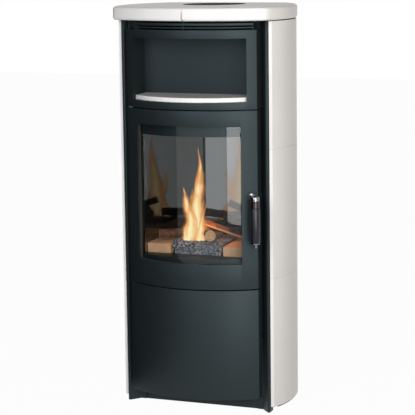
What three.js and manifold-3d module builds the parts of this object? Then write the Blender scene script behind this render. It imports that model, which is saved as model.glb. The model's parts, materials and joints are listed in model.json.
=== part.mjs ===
// Tiled wood stove with a bowed front: a warming niche over a glazed fire door and a plain lower door,
// between two folded steel posts, with three curved ceramic tiles on each side and a two-part ceramic
// top. Millimetres, +Z up, the front faces -Y. The origin is on the floor, under the middle of the stove.
// Plan dimensions are measured from the front face of the posts, which is y = 0 inside the group.
import * as THREE from "three";
import { mergeVertices } from "three/addons/utils/BufferGeometryUtils.js";
import Module from "manifold-3d";

const wasm = await Module();
wasm.setup();

// ---------------------------------------------------------------- Driving dimensions

const GAP = 0.3; // between pieces that touch
const REACH = 60; // how far a cutting tool runs past what it cuts

// Overall
const STOVE_HEIGHT = 1281;
const TOP_THICKNESS = 41;
const SHEET_LIFT = 2; // folded sheet clears the floor by this
const FOOT_HEIGHT = 14.4;
const FOOT_INSET = 93; // the front feet, in from the widest point of the sides
const REAR_FOOT_INSET = 113;
const FOOT_SETBACK = 62;
const REAR_FOOT_SETBACK = 46;
const FOOT_PAD_RADIUS = 18;
const BASE_THICKNESS = 5;
const SUPPORT_THICKNESS = 3;

// Side tiles, whose arcs set the width of all that lies between them
const SIDE_HALF_WIDTH = 281; // at the widest point
const SIDE_WIDEST_Y = 130;
const SIDE_RADIUS = 300;
const TILE_THICKNESS = 9;
const TILE_FRONT_Y = 6;
const TILE_BACK_Y = 302;
const TILE_JOINT = 0.6;
const TILE_EDGE = 2;
const LOWER_TILE_HEIGHT = 414;
const MIDDLE_TILE_HEIGHT = 408;
const BASE_INSET = 4; // the base and the support plate lie this far inside the tiles' faces

// Posts, side panels and rear panel
const STRIP_CLEARANCE = 1.26; // beside the tiles' inner front corners
const STRIP_WIDTH = 8;
const WING_WIDTH = 25;
const WING_Y = 30;
const CHANNEL_WIDTH = 19; // between a post's strip and the bowed front
const POST_FLANGE_DEPTH = 33;
const POST_THICKNESS = 3;
const POST_CLEARANCE = 1.5; // from the niche's liner
const PANEL_LAP = 1.5;
const SIDE_PANEL_THICKNESS = 3;
const REAR_Y = 328;
const REAR_THICKNESS = 2;
const REAR_OVERLAP = 3; // past the side panels, up to the bend
const REAR_BEND = 22;
const VENT_COUNT = 9;
const VENT_LENGTH = 240;
const VENT_WIDTH = 8;
const VENT_PITCH = 20;
const VENT_RISE = 70; // the lower rows, up from the base
const VENT_DROP = 246.4; // the upper rows, down from the top of the panel

// Top tiles
const TOP_FRONT_Y = -104;
const TOP_BACK_Y = 332;
const TOP_FRONT_RADIUS = 506;
const TOP_CORNER_RADIUS = 32;
const TOP_OVERHANG = 7.5; // past the side tiles, where the top is widest
const TOP_WIDEST_Y = 111;
const TOP_SIDE_RADIUS = 330;
const TOP_EDGE = 7;
const TOP_JOINT = 0.6;
const TOP_NOTCH_WIDTH = 5;
const TOP_NOTCH_HEIGHT = 9;
const TOP_NOTCH_DEPTH = 8;

// Flue
const FLUE_Y = 195;
const FLUE_RADIUS = 75;
const FLUE_WALL = 3;
const FLUE_COLLAR_WIDTH = 23;
const FLUE_COLLAR_THICKNESS = 4;
const COVER_LAP = 3; // past the collar
const COVER_THICKNESS = 4.7;
const COVER_CLEARANCE = 2.5;
const PLUG_DEPTH = 14;
const PLUG_WALL = 4;
const PLUG_CLEARANCE = 1;

// Bowed front, shared by the niche frame and both doors
const BOW_DEPTH = 70;
const FRONT_STANDOFF = 25; // the ends of the bow stand this far in front of the posts
const SKIN = 5;
const RETURN_THICKNESS = 3;
const RETURN_BACK_Y = -10; // door returns end here, clear of the firebox as the door swings
const FLANGE_DEPTH = 20;
const FLANGE_THICKNESS = 3;
const FRONT_GAP = 3.6; // between the niche frame and the doors
const LOWER_DOOR_BOTTOM = 52;
const LOWER_DOOR_HEIGHT = 350.9;

// Grille, between the niche frame and the top
const GRILLE_OPENING = 28;
const GRILLE_INSET = 10;
const GRILLE_DEPTH = 16;
const SLAT_INSET = 5;
const SLAT_THICKNESS = 2.5;
const UPPER_SLAT_RISE = 13.5;
const UPPER_SLAT_HEIGHT = 7.5;
const LOWER_SLAT_RISE = 5;
const LOWER_SLAT_HEIGHT = 4;
const CHEEK_THICKNESS = 3;

// Niche
const NICHE_STILE = 27;
const NICHE_TOP_RAIL = 26;
const NICHE_HEIGHT = 196;
const NICHE_BOTTOM_RAIL = 21.4;
const NICHE_BACK_Y = 60;
const LINER_THICKNESS = 2;
const SHELF_THICKNESS = 15;
const SHELF_INSET = 1;
const SHELF_FRONT_RADIUS = 288;
const SHELF_CLEARANCE = 0.6;
const SHELF_EDGE = 1.5;

// Fire door
const DOOR_STILE = 44;
const DOOR_TOP_RAIL = 48;
const DOOR_BOTTOM_RAIL = 79.5;
const GLASS_THICKNESS = 4;
const GLASS_SIDE_LAP = 14;
const GLASS_END_LAP = 24;
const CLAMP_THICKNESS = 2;
const CLAMP_HEIGHT = 10;
const SEAL_WIDTH = 8;
const SEAL_SIDE_MARGIN = 2;
const SEAL_END_MARGIN = 4;

// Hinges and catches
const HINGE_INSET = 13; // from the ends of the bow
const HINGE_Y = -16;
const PIN_RADIUS = 4;
const PIN_CLEARANCE = 0.3;
const PIN_REACH = 8;
const HINGE_PLATE_THICKNESS = 2.2;
const HINGE_PLATE_HALF_WIDTH = 7;
const HINGE_PLATE_NOSE = 8;
const CATCH_HALF_WIDTH = 6;
const CATCH_HEIGHT = 20;

// Handle
const HANDLE_CLEARANCE = 9; // between the spindle and the side of the glass
const HANDLE_RISE = 292.5; // above the door's lower edge
const SPINDLE_RADIUS = 5;
const SPINDLE_CLEARANCE = 0.4;
const SPINDLE_INSIDE = 17;
const GRIP_STANDOFF = 42; // skin to the grip's axis
const GRIP_RADIUS = 15;
const GRIP_LENGTH = 108;
const COLLAR_RADIUS = 13.5;
const COLLAR_LENGTH = 22;
const HEAD_HEIGHT = 16;
const ESCUTCHEON_RADIUS = 10;
const ESCUTCHEON_THICKNESS = 3;
const CAP_THICKNESS = 4;
const FINIAL_LENGTH = 12;
const FINIAL_RADIUS = 5;
const TONGUE_LENGTH = 18;
const TONGUE_WIDTH = 8;
const TONGUE_THICKNESS = 4;
const KEEPER_WIDTH = 8;
const KEEPER_HEIGHT = 16;

// Firebox
const FIREBOX_DROP = 4.5; // below the fire door
const FIREBOX_BACK_Y = 262;
const FIREBOX_MARGIN = 7; // wider than the window, each side
const FIREBOX_WALL = 3;
const ASH_BOX_HEIGHT = 76;
const RIM_INSET = 27;
const RIM_MARGIN = 4; // wider than the rope seal, each side
const RIM_RISE = 28;
const RIM_TOP_MARGIN = 24; // above the window
const RIM_LIP = 8;
const MOUTH_SIDE_STEP = 2; // in from the window's sides
const MOUTH_BOTTOM_STEP = 12;
const MOUTH_TOP_STEP = 35;
const LINING_THICKNESS = 7.7;
const LINING_FRONT_Y = -15;
const LINING_RISE = 7.7; // above the mouth
const BAFFLE_THICKNESS = 18;
const BAFFLE_FRONT_Y = 60;
const BRICK_RISE = 30; // above the mouth's lower edge
const BRICK_FRONT_Y = 2;
const GRATE_HALF_WIDTH = 88.7;
const GRATE_DEPTH = 146;
const GRATE_THICKNESS = 14;
const GRATE_SEAT = 13;
const GRATE_SLOTS = 9;
const GRATE_SLOT_WIDTH = 7;
const EMBER_RISE = 10; // above the bricks
const EMBER_EDGE = 12;

// Ash pan
const PAN_HALF_WIDTH = 88;
const PAN_FRONT_Y = 8;
const PAN_DEPTH = 215;
const PAN_HEIGHT = 55;
const PAN_WALL = 2;
const PAN_GRIP_RADIUS = 8;
const PAN_GRIP_LENGTH = 14;
const ASH_MOUTH_MARGIN = 12; // wider than the pan, each side
const ASH_MOUTH_CLEARANCE = 12; // below the firebox floor

// Lower compartment and air control
const COMPARTMENT_STEP = 5; // the floor, above the lower door's lower edge
const COMPARTMENT_FRONT_Y = 37;
const COMPARTMENT_BACK_Y = 300;
const SLIDE_THICKNESS = 3;
const SLIDE_HALF_LENGTH = 60;
const SLIDE_DEPTH = 60;
const SLIDE_FRONT_Y = -36;
const KNOB_RADIUS = 9;
const KNOB_DROP = 22;
const KNOB_NECK_RADIUS = 4;

// Logs: where the front or left end of each lies, as a share of the chamber's half width from its
// middle, its length as such a share too, how far back it starts and how far it is turned
const FRONT_LOG_START = 0.238;
const FRONT_LOG_Y = 22;
const FRONT_LOG_SHARE = 0.815;
const FRONT_LOG_RADIUS = 19;
const FRONT_LOG_TURN = 28.8;
const LEFT_LOG_START = -0.833;
const LEFT_LOG_Y = 36;
const LEFT_LOG_SHARE = 0.607;
const LEFT_LOG_RADIUS = 16;
const LEFT_LOG_TURN = -65.7;
const BACK_LOG_START = 0.119;
const BACK_LOG_Y = 206;
const BACK_LOG_SHARE = 0.839;
const BACK_LOG_RADIUS = 15;
const BACK_LOG_TURN = -96.5;
const LEANING_LOG_START = 0.893;
const LEANING_LOG_Y = 108;
const LEANING_LOG_SINK = 2.7; // its cut end, into the brick's level
const LEANING_LOG_SPAN = 1.095;
const LEANING_LOG_SHIFT = 24;
const LEANING_LOG_RISE = 59;
const LEANING_LOG_RADIUS = 13;
const LOG_SIDES = 10;

// ---------------------------------------------------------------- Derived dimensions

const TOP_UNDERSIDE = STOVE_HEIGHT - TOP_THICKNESS;
const BASE_TOP = FOOT_HEIGHT + GAP + BASE_THICKNESS;
const SUPPORT_TOP = TOP_UNDERSIDE - GAP;
const SUPPORT_BOTTOM = SUPPORT_TOP - SUPPORT_THICKNESS;
const BODY_BOTTOM = BASE_TOP + GAP;
const BODY_TOP = SUPPORT_BOTTOM - GAP;

const SIDE_CENTRE_X = SIDE_HALF_WIDTH - SIDE_RADIUS;
const TOP_SIDE_CENTRE_X = SIDE_HALF_WIDTH + TOP_OVERHANG - TOP_SIDE_RADIUS;
const COLLAR_OUTER_RADIUS = FLUE_RADIUS + FLUE_COLLAR_WIDTH;
const COVER_RADIUS = COLLAR_OUTER_RADIUS + COVER_LAP;

const TILE_INNER_X = sideX(TILE_THICKNESS, TILE_FRONT_Y);
const STRIP_OUTER_X = TILE_INNER_X - STRIP_CLEARANCE;
const STRIP_INNER_X = STRIP_OUTER_X - STRIP_WIDTH;
const WING_X = STRIP_INNER_X - WING_WIDTH;
const BOW_HALF_WIDTH = STRIP_INNER_X - CHANNEL_WIDTH;
const BOW_RADIUS = (BOW_HALF_WIDTH ** 2 + BOW_DEPTH ** 2) / (2 * BOW_DEPTH);
const BOW_CENTRE_Y = BOW_RADIUS - FRONT_STANDOFF - BOW_DEPTH;
const BOW_STEP = Math.PI / 40;

const NICHE_FRAME_TOP = TOP_UNDERSIDE - GRILLE_OPENING;
const NICHE_CEILING = NICHE_FRAME_TOP - NICHE_TOP_RAIL;
const NICHE_FLOOR = NICHE_CEILING - NICHE_HEIGHT;
const NICHE_FRAME_BOTTOM = NICHE_FLOOR - NICHE_BOTTOM_RAIL;
const NICHE_HALF_WIDTH = BOW_HALF_WIDTH - NICHE_STILE;
const POST_RETURN_X = NICHE_HALF_WIDTH + LINER_THICKNESS + POST_CLEARANCE;
const SIDE_PANEL_X = POST_RETURN_X + PANEL_LAP;
const PANEL_FRONT_Y = WING_Y + POST_THICKNESS + GAP;
const REAR_HALF_WIDTH = SIDE_PANEL_X + SIDE_PANEL_THICKNESS + REAR_OVERLAP;
const REAR_INNER_Y = REAR_Y - REAR_THICKNESS - GAP;
const GRILLE_HALF_WIDTH = BOW_HALF_WIDTH - GRILLE_INSET;

const LOWER_DOOR_TOP = LOWER_DOOR_BOTTOM + LOWER_DOOR_HEIGHT;
const FIRE_DOOR_BOTTOM = LOWER_DOOR_TOP + FRONT_GAP;
const FIRE_DOOR_TOP = NICHE_FRAME_BOTTOM - FRONT_GAP;
const WINDOW_HALF_WIDTH = BOW_HALF_WIDTH - DOOR_STILE;
const WINDOW_BOTTOM = FIRE_DOOR_BOTTOM + DOOR_BOTTOM_RAIL;
const WINDOW_TOP = FIRE_DOOR_TOP - DOOR_TOP_RAIL;
const GLASS_HALF_WIDTH = WINDOW_HALF_WIDTH + GLASS_SIDE_LAP;
const GLASS_INSET = SKIN + GAP;
const GLASS_BACK = GLASS_INSET + GLASS_THICKNESS + GAP;
const SEAL_HALF_WIDTH = WINDOW_HALF_WIDTH + SEAL_SIDE_MARGIN + SEAL_WIDTH;
const SEAL_END_LAP = SEAL_END_MARGIN + SEAL_WIDTH;
const HINGE_X = HINGE_INSET - BOW_HALF_WIDTH;
const HANDLE_X = GLASS_HALF_WIDTH + HANDLE_CLEARANCE + SPINDLE_RADIUS;
const HANDLE_Z = FIRE_DOOR_BOTTOM + HANDLE_RISE;
const HANDLE_ANGLE = Math.asin(HANDLE_X / BOW_RADIUS);
const CATCH_Z = LOWER_DOOR_BOTTOM + LOWER_DOOR_HEIGHT / 2;

const FIREBOX_BOTTOM = FIRE_DOOR_BOTTOM - FIREBOX_DROP;
const FIREBOX_FLOOR = FIREBOX_BOTTOM + ASH_BOX_HEIGHT;
const FIREBOX_HALF_WIDTH = WINDOW_HALF_WIDTH + FIREBOX_MARGIN;
const RIM_HALF_WIDTH = SEAL_HALF_WIDTH + RIM_MARGIN;
const RIM_BOTTOM = FIREBOX_BOTTOM + RIM_RISE;
const RIM_TOP = WINDOW_TOP + RIM_TOP_MARGIN;
const FIREBOX_TOP = RIM_TOP - RIM_LIP;
const MOUTH_HALF_WIDTH = WINDOW_HALF_WIDTH - MOUTH_SIDE_STEP;
const MOUTH_BOTTOM = WINDOW_BOTTOM + MOUTH_BOTTOM_STEP;
const MOUTH_TOP = WINDOW_TOP - MOUTH_TOP_STEP;
const CAVITY_INSET = RIM_INSET + FIREBOX_WALL;
const CAVITY_HALF_WIDTH = FIREBOX_HALF_WIDTH - FIREBOX_WALL;
const CAVITY_BACK_Y = FIREBOX_BACK_Y - FIREBOX_WALL;
const HEARTH = FIREBOX_FLOOR + FIREBOX_WALL + GAP;
const CHAMBER_HALF_WIDTH = CAVITY_HALF_WIDTH - GAP - LINING_THICKNESS;
const CHAMBER_BACK_Y = CAVITY_BACK_Y - GAP - LINING_THICKNESS;
const LINING_TOP = MOUTH_TOP + LINING_RISE;
const BRICK_HALF_WIDTH = CHAMBER_HALF_WIDTH - GAP;
const BRICK_TOP = MOUTH_BOTTOM + BRICK_RISE;
const EMBER_TOP = BRICK_TOP + EMBER_RISE;
const GRATE_BACK_Y = BRICK_FRONT_Y + GRATE_DEPTH;
const ASH_MOUTH_HALF_WIDTH = PAN_HALF_WIDTH + ASH_MOUTH_MARGIN;
const ASH_MOUTH_TOP = FIREBOX_FLOOR - ASH_MOUTH_CLEARANCE;
const COMPARTMENT_FLOOR = LOWER_DOOR_BOTTOM + COMPARTMENT_STEP;
const COMPARTMENT_TOP = FIREBOX_BOTTOM - GAP;

// How far out the sides' arc lies at a given y, set in from the tiles' faces.
function sideX(inset, y) {
  return SIDE_CENTRE_X + Math.sqrt((SIDE_RADIUS - inset) ** 2 - (y - SIDE_WIDEST_Y) ** 2);
}

// ---------------------------------------------------------------- Finishes

const finish = (color, roughness, metalness) =>
  new THREE.MeshStandardMaterial({ color, roughness, metalness });
const GLAZED_TILE = finish(0xece8e1, 0.25, 0);
const PAINTED_STEEL = finish(0x3a444c, 0.55, 0.4);
const BARE_STEEL = finish(0x8a8d90, 0.4, 0.9);
const CHROME = finish(0xc4c4c8, 0.15, 1);
const BRUSHED_STEEL = finish(0x7a6c66, 0.35, 1);
const GRIP_BLACK = finish(0x22262b, 0.4, 0);
const CAST_IRON = finish(0x2e2d2c, 0.8, 0.6);
const DARK_GLASS = finish(0x1a2024, 0.05, 0.2);
const FIRE_BRICK = finish(0xc79a72, 0.9, 0);
const ROPE = finish(0x4a4640, 1, 0);
const EMBER = finish(0x4d4d50, 0.95, 0);
const BARK = finish(0x6a4a36, 0.9, 0);
const GALVANISED = finish(0x9da1a3, 0.5, 0.8);
const WINDOW_GLASS = new THREE.MeshStandardMaterial({
  color: 0xdfe6e6,
  roughness: 0.05,
  metalness: 0,
  transparent: true,
  opacity: 0.25,
});

// ---------------------------------------------------------------- Solids

function solidOf(geometry) {
  const bare = geometry.clone();
  bare.deleteAttribute("normal");
  bare.deleteAttribute("uv");
  const merged = mergeVertices(bare);
  const mesh = new wasm.Mesh({
    numProp: 3,
    vertProperties: new Float32Array(merged.attributes.position.array),
    triVerts: new Uint32Array(merged.index.array),
  });
  return new wasm.Manifold(mesh);
}

function geometryOf(solid) {
  const mesh = solid.getMesh();
  const geometry = new THREE.BufferGeometry();
  geometry.setAttribute("position", new THREE.BufferAttribute(mesh.vertProperties, 3));
  geometry.setIndex(new THREE.BufferAttribute(mesh.triVerts, 1));
  return geometry;
}

function combine(first, others, step) {
  const result = others.reduce((solid, next) => step(solid, solidOf(next)), solidOf(first));
  return geometryOf(result);
}

const weld = (first, ...others) => combine(first, others, (a, b) => a.add(b));
const carve = (first, ...others) => combine(first, others, (a, b) => a.subtract(b));

function block([x0, x1], [y0, y1], [z0, z1]) {
  const box = new THREE.BoxGeometry(Math.abs(x1 - x0), y1 - y0, z1 - z0);
  return box.translate((x0 + x1) / 2, (y0 + y1) / 2, (z0 + z1) / 2);
}

function slab(shape, bottom, top, curveSegments = 24) {
  const depth = top - bottom;
  const geometry = new THREE.ExtrudeGeometry(shape, { depth, bevelEnabled: false, curveSegments });
  return geometry.translate(0, 0, bottom);
}

// A slab whose top and bottom edges are rounded inside its outline.
function roundedSlab(shape, bottom, top, edge, bevelSegments, curveSegments = 24) {
  const geometry = new THREE.ExtrudeGeometry(shape, {
    depth: top - bottom - 2 * edge,
    bevelThickness: edge,
    bevelSize: edge,
    bevelOffset: -edge,
    bevelSegments,
    curveSegments,
  });
  return geometry.translate(0, 0, bottom + edge);
}

function rod(from, to, radius, sides = 24) {
  const start = new THREE.Vector3(...from);
  const along = new THREE.Vector3(...to).sub(start);
  const geometry = new THREE.CylinderGeometry(radius, radius, along.length(), sides);
  const turn = new THREE.Quaternion().setFromUnitVectors(
    new THREE.Vector3(0, 1, 0),
    along.clone().normalize(),
  );
  geometry.applyQuaternion(turn);
  const middle = start.addScaledVector(along, 0.5);
  return geometry.translate(middle.x, middle.y, middle.z);
}

// A turned piece on a vertical axis at x, y, from [radius, height] pairs.
function turned(profile, x, y, segments = 32) {
  const points = profile.map(([radius, height]) => new THREE.Vector2(radius, height));
  const geometry = new THREE.LatheGeometry(points, segments);
  return geometry.rotateX(Math.PI / 2).translate(x, y, 0);
}

// ---------------------------------------------------------------- Plan outlines

const shapeOf = (points) => new THREE.Shape(points.map(([x, y]) => new THREE.Vector2(x, y)));

const bowY = (x, inset = 0) => BOW_CENTRE_Y - Math.sqrt((BOW_RADIUS - inset) ** 2 - x ** 2);

// The front arc from left to right. Every arc has its corners at the same angles, so the flats of
// neighbouring pieces lie parallel.
function arcAcross(centreY, radius, halfWidth) {
  const end = Math.asin(halfWidth / radius);
  const steps = Math.ceil(end / BOW_STEP) - 1;
  const inner = Array.from({ length: 2 * steps + 1 }, (_, i) => (i - steps) * BOW_STEP);
  return [-end, ...inner, end].map((angle) => [
    radius * Math.sin(angle),
    centreY - radius * Math.cos(angle),
  ]);
}

const bowPoints = (inset, halfWidth) => arcAcross(BOW_CENTRE_Y, BOW_RADIUS - inset, halfWidth);

// A bowed sheet between two insets.
function bowSheet(inset, thickness, halfWidth) {
  const inner = bowPoints(inset + thickness, halfWidth).reverse();
  return shapeOf([...bowPoints(inset, halfWidth), ...inner]);
}

// A bowed front with straight sides that run back to a flat end.
function bowTo(inset, halfWidth, backY) {
  return shapeOf([...bowPoints(inset, halfWidth), [halfWidth, backY], [-halfWidth, backY]]);
}

function arcPoints(x, y, radius, from, to, count) {
  return Array.from({ length: count + 1 }, (_, i) => {
    const angle = from + ((to - from) * i) / count;
    return [x + radius * Math.cos(angle), y + radius * Math.sin(angle)];
  });
}

// The side arc between two y planes, set in from the tiles' faces.
function sideArc(inset, frontY, backY, count) {
  const radius = SIDE_RADIUS - inset;
  const from = Math.asin((frontY - SIDE_WIDEST_Y) / radius);
  const to = Math.asin((backY - SIDE_WIDEST_Y) / radius);
  return arcPoints(SIDE_CENTRE_X, SIDE_WIDEST_Y, radius, from, to, count);
}

// An open path made into a sheet, thickened to its right.
function foldedSheet(path, thickness) {
  const normals = path.slice(1).map(([x, y], i) => {
    const run = Math.hypot(x - path[i][0], y - path[i][1]);
    return [(y - path[i][1]) / run, (path[i][0] - x) / run];
  });
  const inner = path.map(([x, y], i) => {
    const a = normals[Math.max(i - 1, 0)];
    const b = normals[Math.min(i, normals.length - 1)];
    const mitre = thickness / (1 + a[0] * b[0] + a[1] * b[1]);
    return [x + (a[0] + b[0]) * mitre, y + (a[1] + b[1]) * mitre];
  });
  return shapeOf([...path, ...inner.reverse()]);
}

const mirrored = (points, side) => points.map(([x, y]) => [x * side, y]);

// ---------------------------------------------------------------- The assembly

const stove = new THREE.Group();
stove.position.y = -(TOP_FRONT_Y + TOP_BACK_Y) / 2;

function add(name, geometry, material) {
  const mesh = new THREE.Mesh(geometry, material);
  mesh.name = name;
  stove.add(mesh);
}

const SIDES = [
  { side: -1, word: "left" },
  { side: 1, word: "right" },
];

// ---------------------------------------------------------------- Base and carcass

function levellingFeet() {
  const places = {
    front: [SIDE_HALF_WIDTH - FOOT_INSET, FOOT_SETBACK],
    rear: [SIDE_HALF_WIDTH - REAR_FOOT_INSET, REAR_Y - REAR_FOOT_SETBACK],
  };
  const profile = [
    [0, 0],
    [FOOT_PAD_RADIUS, 0],
    [FOOT_PAD_RADIUS, FOOT_HEIGHT * 0.2],
    [FOOT_PAD_RADIUS * 0.8, FOOT_HEIGHT * 0.4],
    [FOOT_PAD_RADIUS / 3, FOOT_HEIGHT * 0.4],
    [FOOT_PAD_RADIUS / 3, FOOT_HEIGHT * 0.55],
    [FOOT_PAD_RADIUS * 0.6, FOOT_HEIGHT * 0.55],
    [FOOT_PAD_RADIUS * 0.6, FOOT_HEIGHT],
    [0, FOOT_HEIGHT],
  ];
  for (const { side, word } of SIDES) {
    for (const [end, [x, y]] of Object.entries(places)) {
      add(`${word}_${end}_foot`, turned(profile, x * side, y, 18), GALVANISED);
    }
  }
}

// A plate under or over the tiles: a bowed or straight front edge and the arcs of the sides.
function carcassPlate(frontPoints, sideFrontY, bottom, top) {
  const right = sideArc(BASE_INSET, sideFrontY, TILE_BACK_Y, 12);
  const rearX = REAR_HALF_WIDTH - GAP;
  const left = mirrored(right, -1).reverse();
  const outline = [...frontPoints, ...right, [rearX, REAR_INNER_Y], [-rearX, REAR_INNER_Y], ...left];
  return slab(shapeOf(outline), bottom, top);
}

// The base plate and, folded down and up at its front edge, the plinth between the posts.
function plinthBase() {
  const halfWidth = SIDE_PANEL_X - GAP;
  const behindPosts = POST_FLANGE_DEPTH + GAP;
  const plate = carcassPlate([], Math.max(PANEL_FRONT_Y, behindPosts), FOOT_HEIGHT + GAP, BASE_TOP);
  const plinth = block(
    [-halfWidth, halfWidth],
    [PANEL_FRONT_Y, PANEL_FRONT_Y + BASE_THICKNESS],
    [SHEET_LIFT, COMPARTMENT_FLOOR - GAP],
  );
  add("plinth_base", weld(plate, plinth), PAINTED_STEEL);
}

function supportPlate() {
  const bow = bowPoints(FLANGE_DEPTH, WING_X);
  const plate = carcassPlate(bow, TILE_FRONT_Y, SUPPORT_BOTTOM, SUPPORT_TOP);
  const hole = rod([0, FLUE_Y, SUPPORT_BOTTOM - REACH], [0, FLUE_Y, SUPPORT_TOP + REACH], FLUE_RADIUS + 1, 40);
  add("top_support_plate", carve(plate, hole), PAINTED_STEEL);
}

function posts() {
  const path = [
    [STRIP_OUTER_X, POST_FLANGE_DEPTH],
    [STRIP_OUTER_X, 0],
    [STRIP_INNER_X, 0],
    [WING_X, WING_Y],
    [POST_RETURN_X, WING_Y],
  ];
  const profile = foldedSheet(path, POST_THICKNESS).getPoints();
  for (const { side, word } of SIDES) {
    const shape = shapeOf(profile.map((point) => [point.x * side, point.y]));
    add(`${word}_front_post`, slab(shape, SHEET_LIFT, BODY_TOP), PAINTED_STEEL);
  }
}

function sidePanels() {
  for (const { side, word } of SIDES) {
    const xs = [SIDE_PANEL_X * side, (SIDE_PANEL_X + SIDE_PANEL_THICKNESS) * side];
    const width = [Math.min(...xs), Math.max(...xs)];
    const panel = block(width, [PANEL_FRONT_Y, REAR_INNER_Y], [BODY_BOTTOM, BODY_TOP]);
    add(`${word}_side_panel`, panel, PAINTED_STEEL);
  }
}

function ventRows(firstZ) {
  return Array.from({ length: VENT_COUNT }, (_, i) => {
    const z = firstZ + i * VENT_PITCH;
    return block([-VENT_LENGTH / 2, VENT_LENGTH / 2], [REAR_Y - REACH, REAR_Y + REACH], [z, z + VENT_WIDTH]);
  });
}

function rearPanel() {
  const path = [
    [-REAR_HALF_WIDTH - REAR_BEND, REAR_Y - REAR_BEND],
    [-REAR_HALF_WIDTH, REAR_Y],
    [REAR_HALF_WIDTH, REAR_Y],
    [REAR_HALF_WIDTH + REAR_BEND, REAR_Y - REAR_BEND],
  ];
  const sheet = slab(foldedSheet(path, REAR_THICKNESS), BODY_BOTTOM, BODY_TOP);
  const vents = [...ventRows(BODY_BOTTOM + VENT_RISE), ...ventRows(BODY_TOP - VENT_DROP)];
  add("rear_panel", carve(sheet, ...vents), PAINTED_STEEL);
}

// ---------------------------------------------------------------- Ceramic

function sideTiles() {
  const outer = sideArc(0, TILE_FRONT_Y, TILE_BACK_Y, 12);
  const inner = sideArc(TILE_THICKNESS, TILE_FRONT_Y, TILE_BACK_Y, 12);
  const outline = [...outer, ...inner.reverse()];
  const lowerTop = BODY_BOTTOM + LOWER_TILE_HEIGHT;
  const middleTop = lowerTop + MIDDLE_TILE_HEIGHT;
  const levels = {
    lower: [BODY_BOTTOM, lowerTop - TILE_JOINT],
    middle: [lowerTop, middleTop - TILE_JOINT],
    upper: [middleTop, BODY_TOP],
  };
  for (const { side, word } of SIDES) {
    for (const [level, [bottom, top]] of Object.entries(levels)) {
      const shape = shapeOf(mirrored(outline, side));
      add(`${word}_${level}_tile`, roundedSlab(shape, bottom, top, TILE_EDGE, 1), GLAZED_TILE);
    }
  }
}

// Where two circles meet, on the side of lower y.
function circlesMeet(x0, y0, r0, x1, y1, r1) {
  const apart = Math.hypot(x1 - x0, y1 - y0);
  const along = (apart ** 2 + r0 ** 2 - r1 ** 2) / (2 * apart);
  const off = Math.sqrt(r0 ** 2 - along ** 2);
  const ux = (x1 - x0) / apart;
  const uy = (y1 - y0) / apart;
  const meets = [1, -1].map((s) => [x0 + ux * along - uy * off * s, y0 + uy * along + ux * off * s]);
  return meets.find(([x]) => x > 0);
}

// The right half of the top: a front arc, a round corner and a side arc that run into each other.
function topOutline() {
  const frontCentreY = TOP_FRONT_Y + TOP_FRONT_RADIUS;
  const [cornerX, cornerY] = circlesMeet(
    0,
    frontCentreY,
    TOP_FRONT_RADIUS - TOP_CORNER_RADIUS,
    TOP_SIDE_CENTRE_X,
    TOP_WIDEST_Y,
    TOP_SIDE_RADIUS - TOP_CORNER_RADIUS,
  );
  const frontEnd = Math.atan2(cornerY - frontCentreY, cornerX);
  const sideStart = Math.atan2(cornerY - TOP_WIDEST_Y, cornerX - TOP_SIDE_CENTRE_X);
  const sideEnd = Math.asin((TOP_BACK_Y - TOP_WIDEST_Y) / TOP_SIDE_RADIUS);
  return [
    ...arcPoints(0, frontCentreY, TOP_FRONT_RADIUS, -Math.PI / 2, frontEnd, 8).slice(1),
    ...arcPoints(cornerX, cornerY, TOP_CORNER_RADIUS, frontEnd, sideStart, 5).slice(1),
    ...arcPoints(TOP_SIDE_CENTRE_X, TOP_WIDEST_Y, TOP_SIDE_RADIUS, sideStart, sideEnd, 14).slice(1),
  ];
}

// Both halves are cut from one rounded plate, with a small notch under the front of the joint.
function topTiles() {
  const half = topOutline();
  const outline = [[0, TOP_FRONT_Y], ...half, ...mirrored(half, -1).reverse()];
  const plate = roundedSlab(shapeOf(outline), TOP_UNDERSIDE, STOVE_HEIGHT, TOP_EDGE, 2);
  const hole = rod([0, FLUE_Y, TOP_UNDERSIDE - REACH], [0, FLUE_Y, STOVE_HEIGHT + REACH],
    COVER_RADIUS + COVER_CLEARANCE, 40);
  const notch = slab(
    shapeOf([[-TOP_NOTCH_WIDTH / 2, -1], [TOP_NOTCH_WIDTH / 2, -1], [0, TOP_NOTCH_HEIGHT]]),
    0,
    TOP_NOTCH_DEPTH + 1,
  );
  notch.rotateX(Math.PI / 2).translate(0, TOP_FRONT_Y + TOP_NOTCH_DEPTH, TOP_UNDERSIDE);
  const across = SIDE_HALF_WIDTH + REACH;
  for (const { side, word } of SIDES) {
    const xs = [(TOP_JOINT / 2) * side, -across * side];
    const other = block(
      [Math.min(...xs), Math.max(...xs)],
      [TOP_FRONT_Y - REACH, TOP_BACK_Y + REACH],
      [TOP_UNDERSIDE - REACH, STOVE_HEIGHT + REACH],
    );
    add(`${word}_top_tile`, carve(plate, hole, notch, other), GLAZED_TILE);
  }
}

// The shelf's front is flush with the bow in the middle and falls back a little towards its ends.
function shelfTile() {
  const bottom = NICHE_FLOOR + GAP;
  const halfWidth = NICHE_HALF_WIDTH - SHELF_CLEARANCE;
  const backY = NICHE_BACK_Y - SHELF_CLEARANCE;
  const frontY = bowY(0, SHELF_INSET);
  const front = arcAcross(frontY + SHELF_FRONT_RADIUS, SHELF_FRONT_RADIUS, halfWidth);
  const shape = shapeOf([...front, [halfWidth, backY], [-halfWidth, backY]]);
  add("shelf_tile", roundedSlab(shape, bottom, bottom + SHELF_THICKNESS, SHELF_EDGE, 1), GLAZED_TILE);
}

// ---------------------------------------------------------------- Flue

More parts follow.
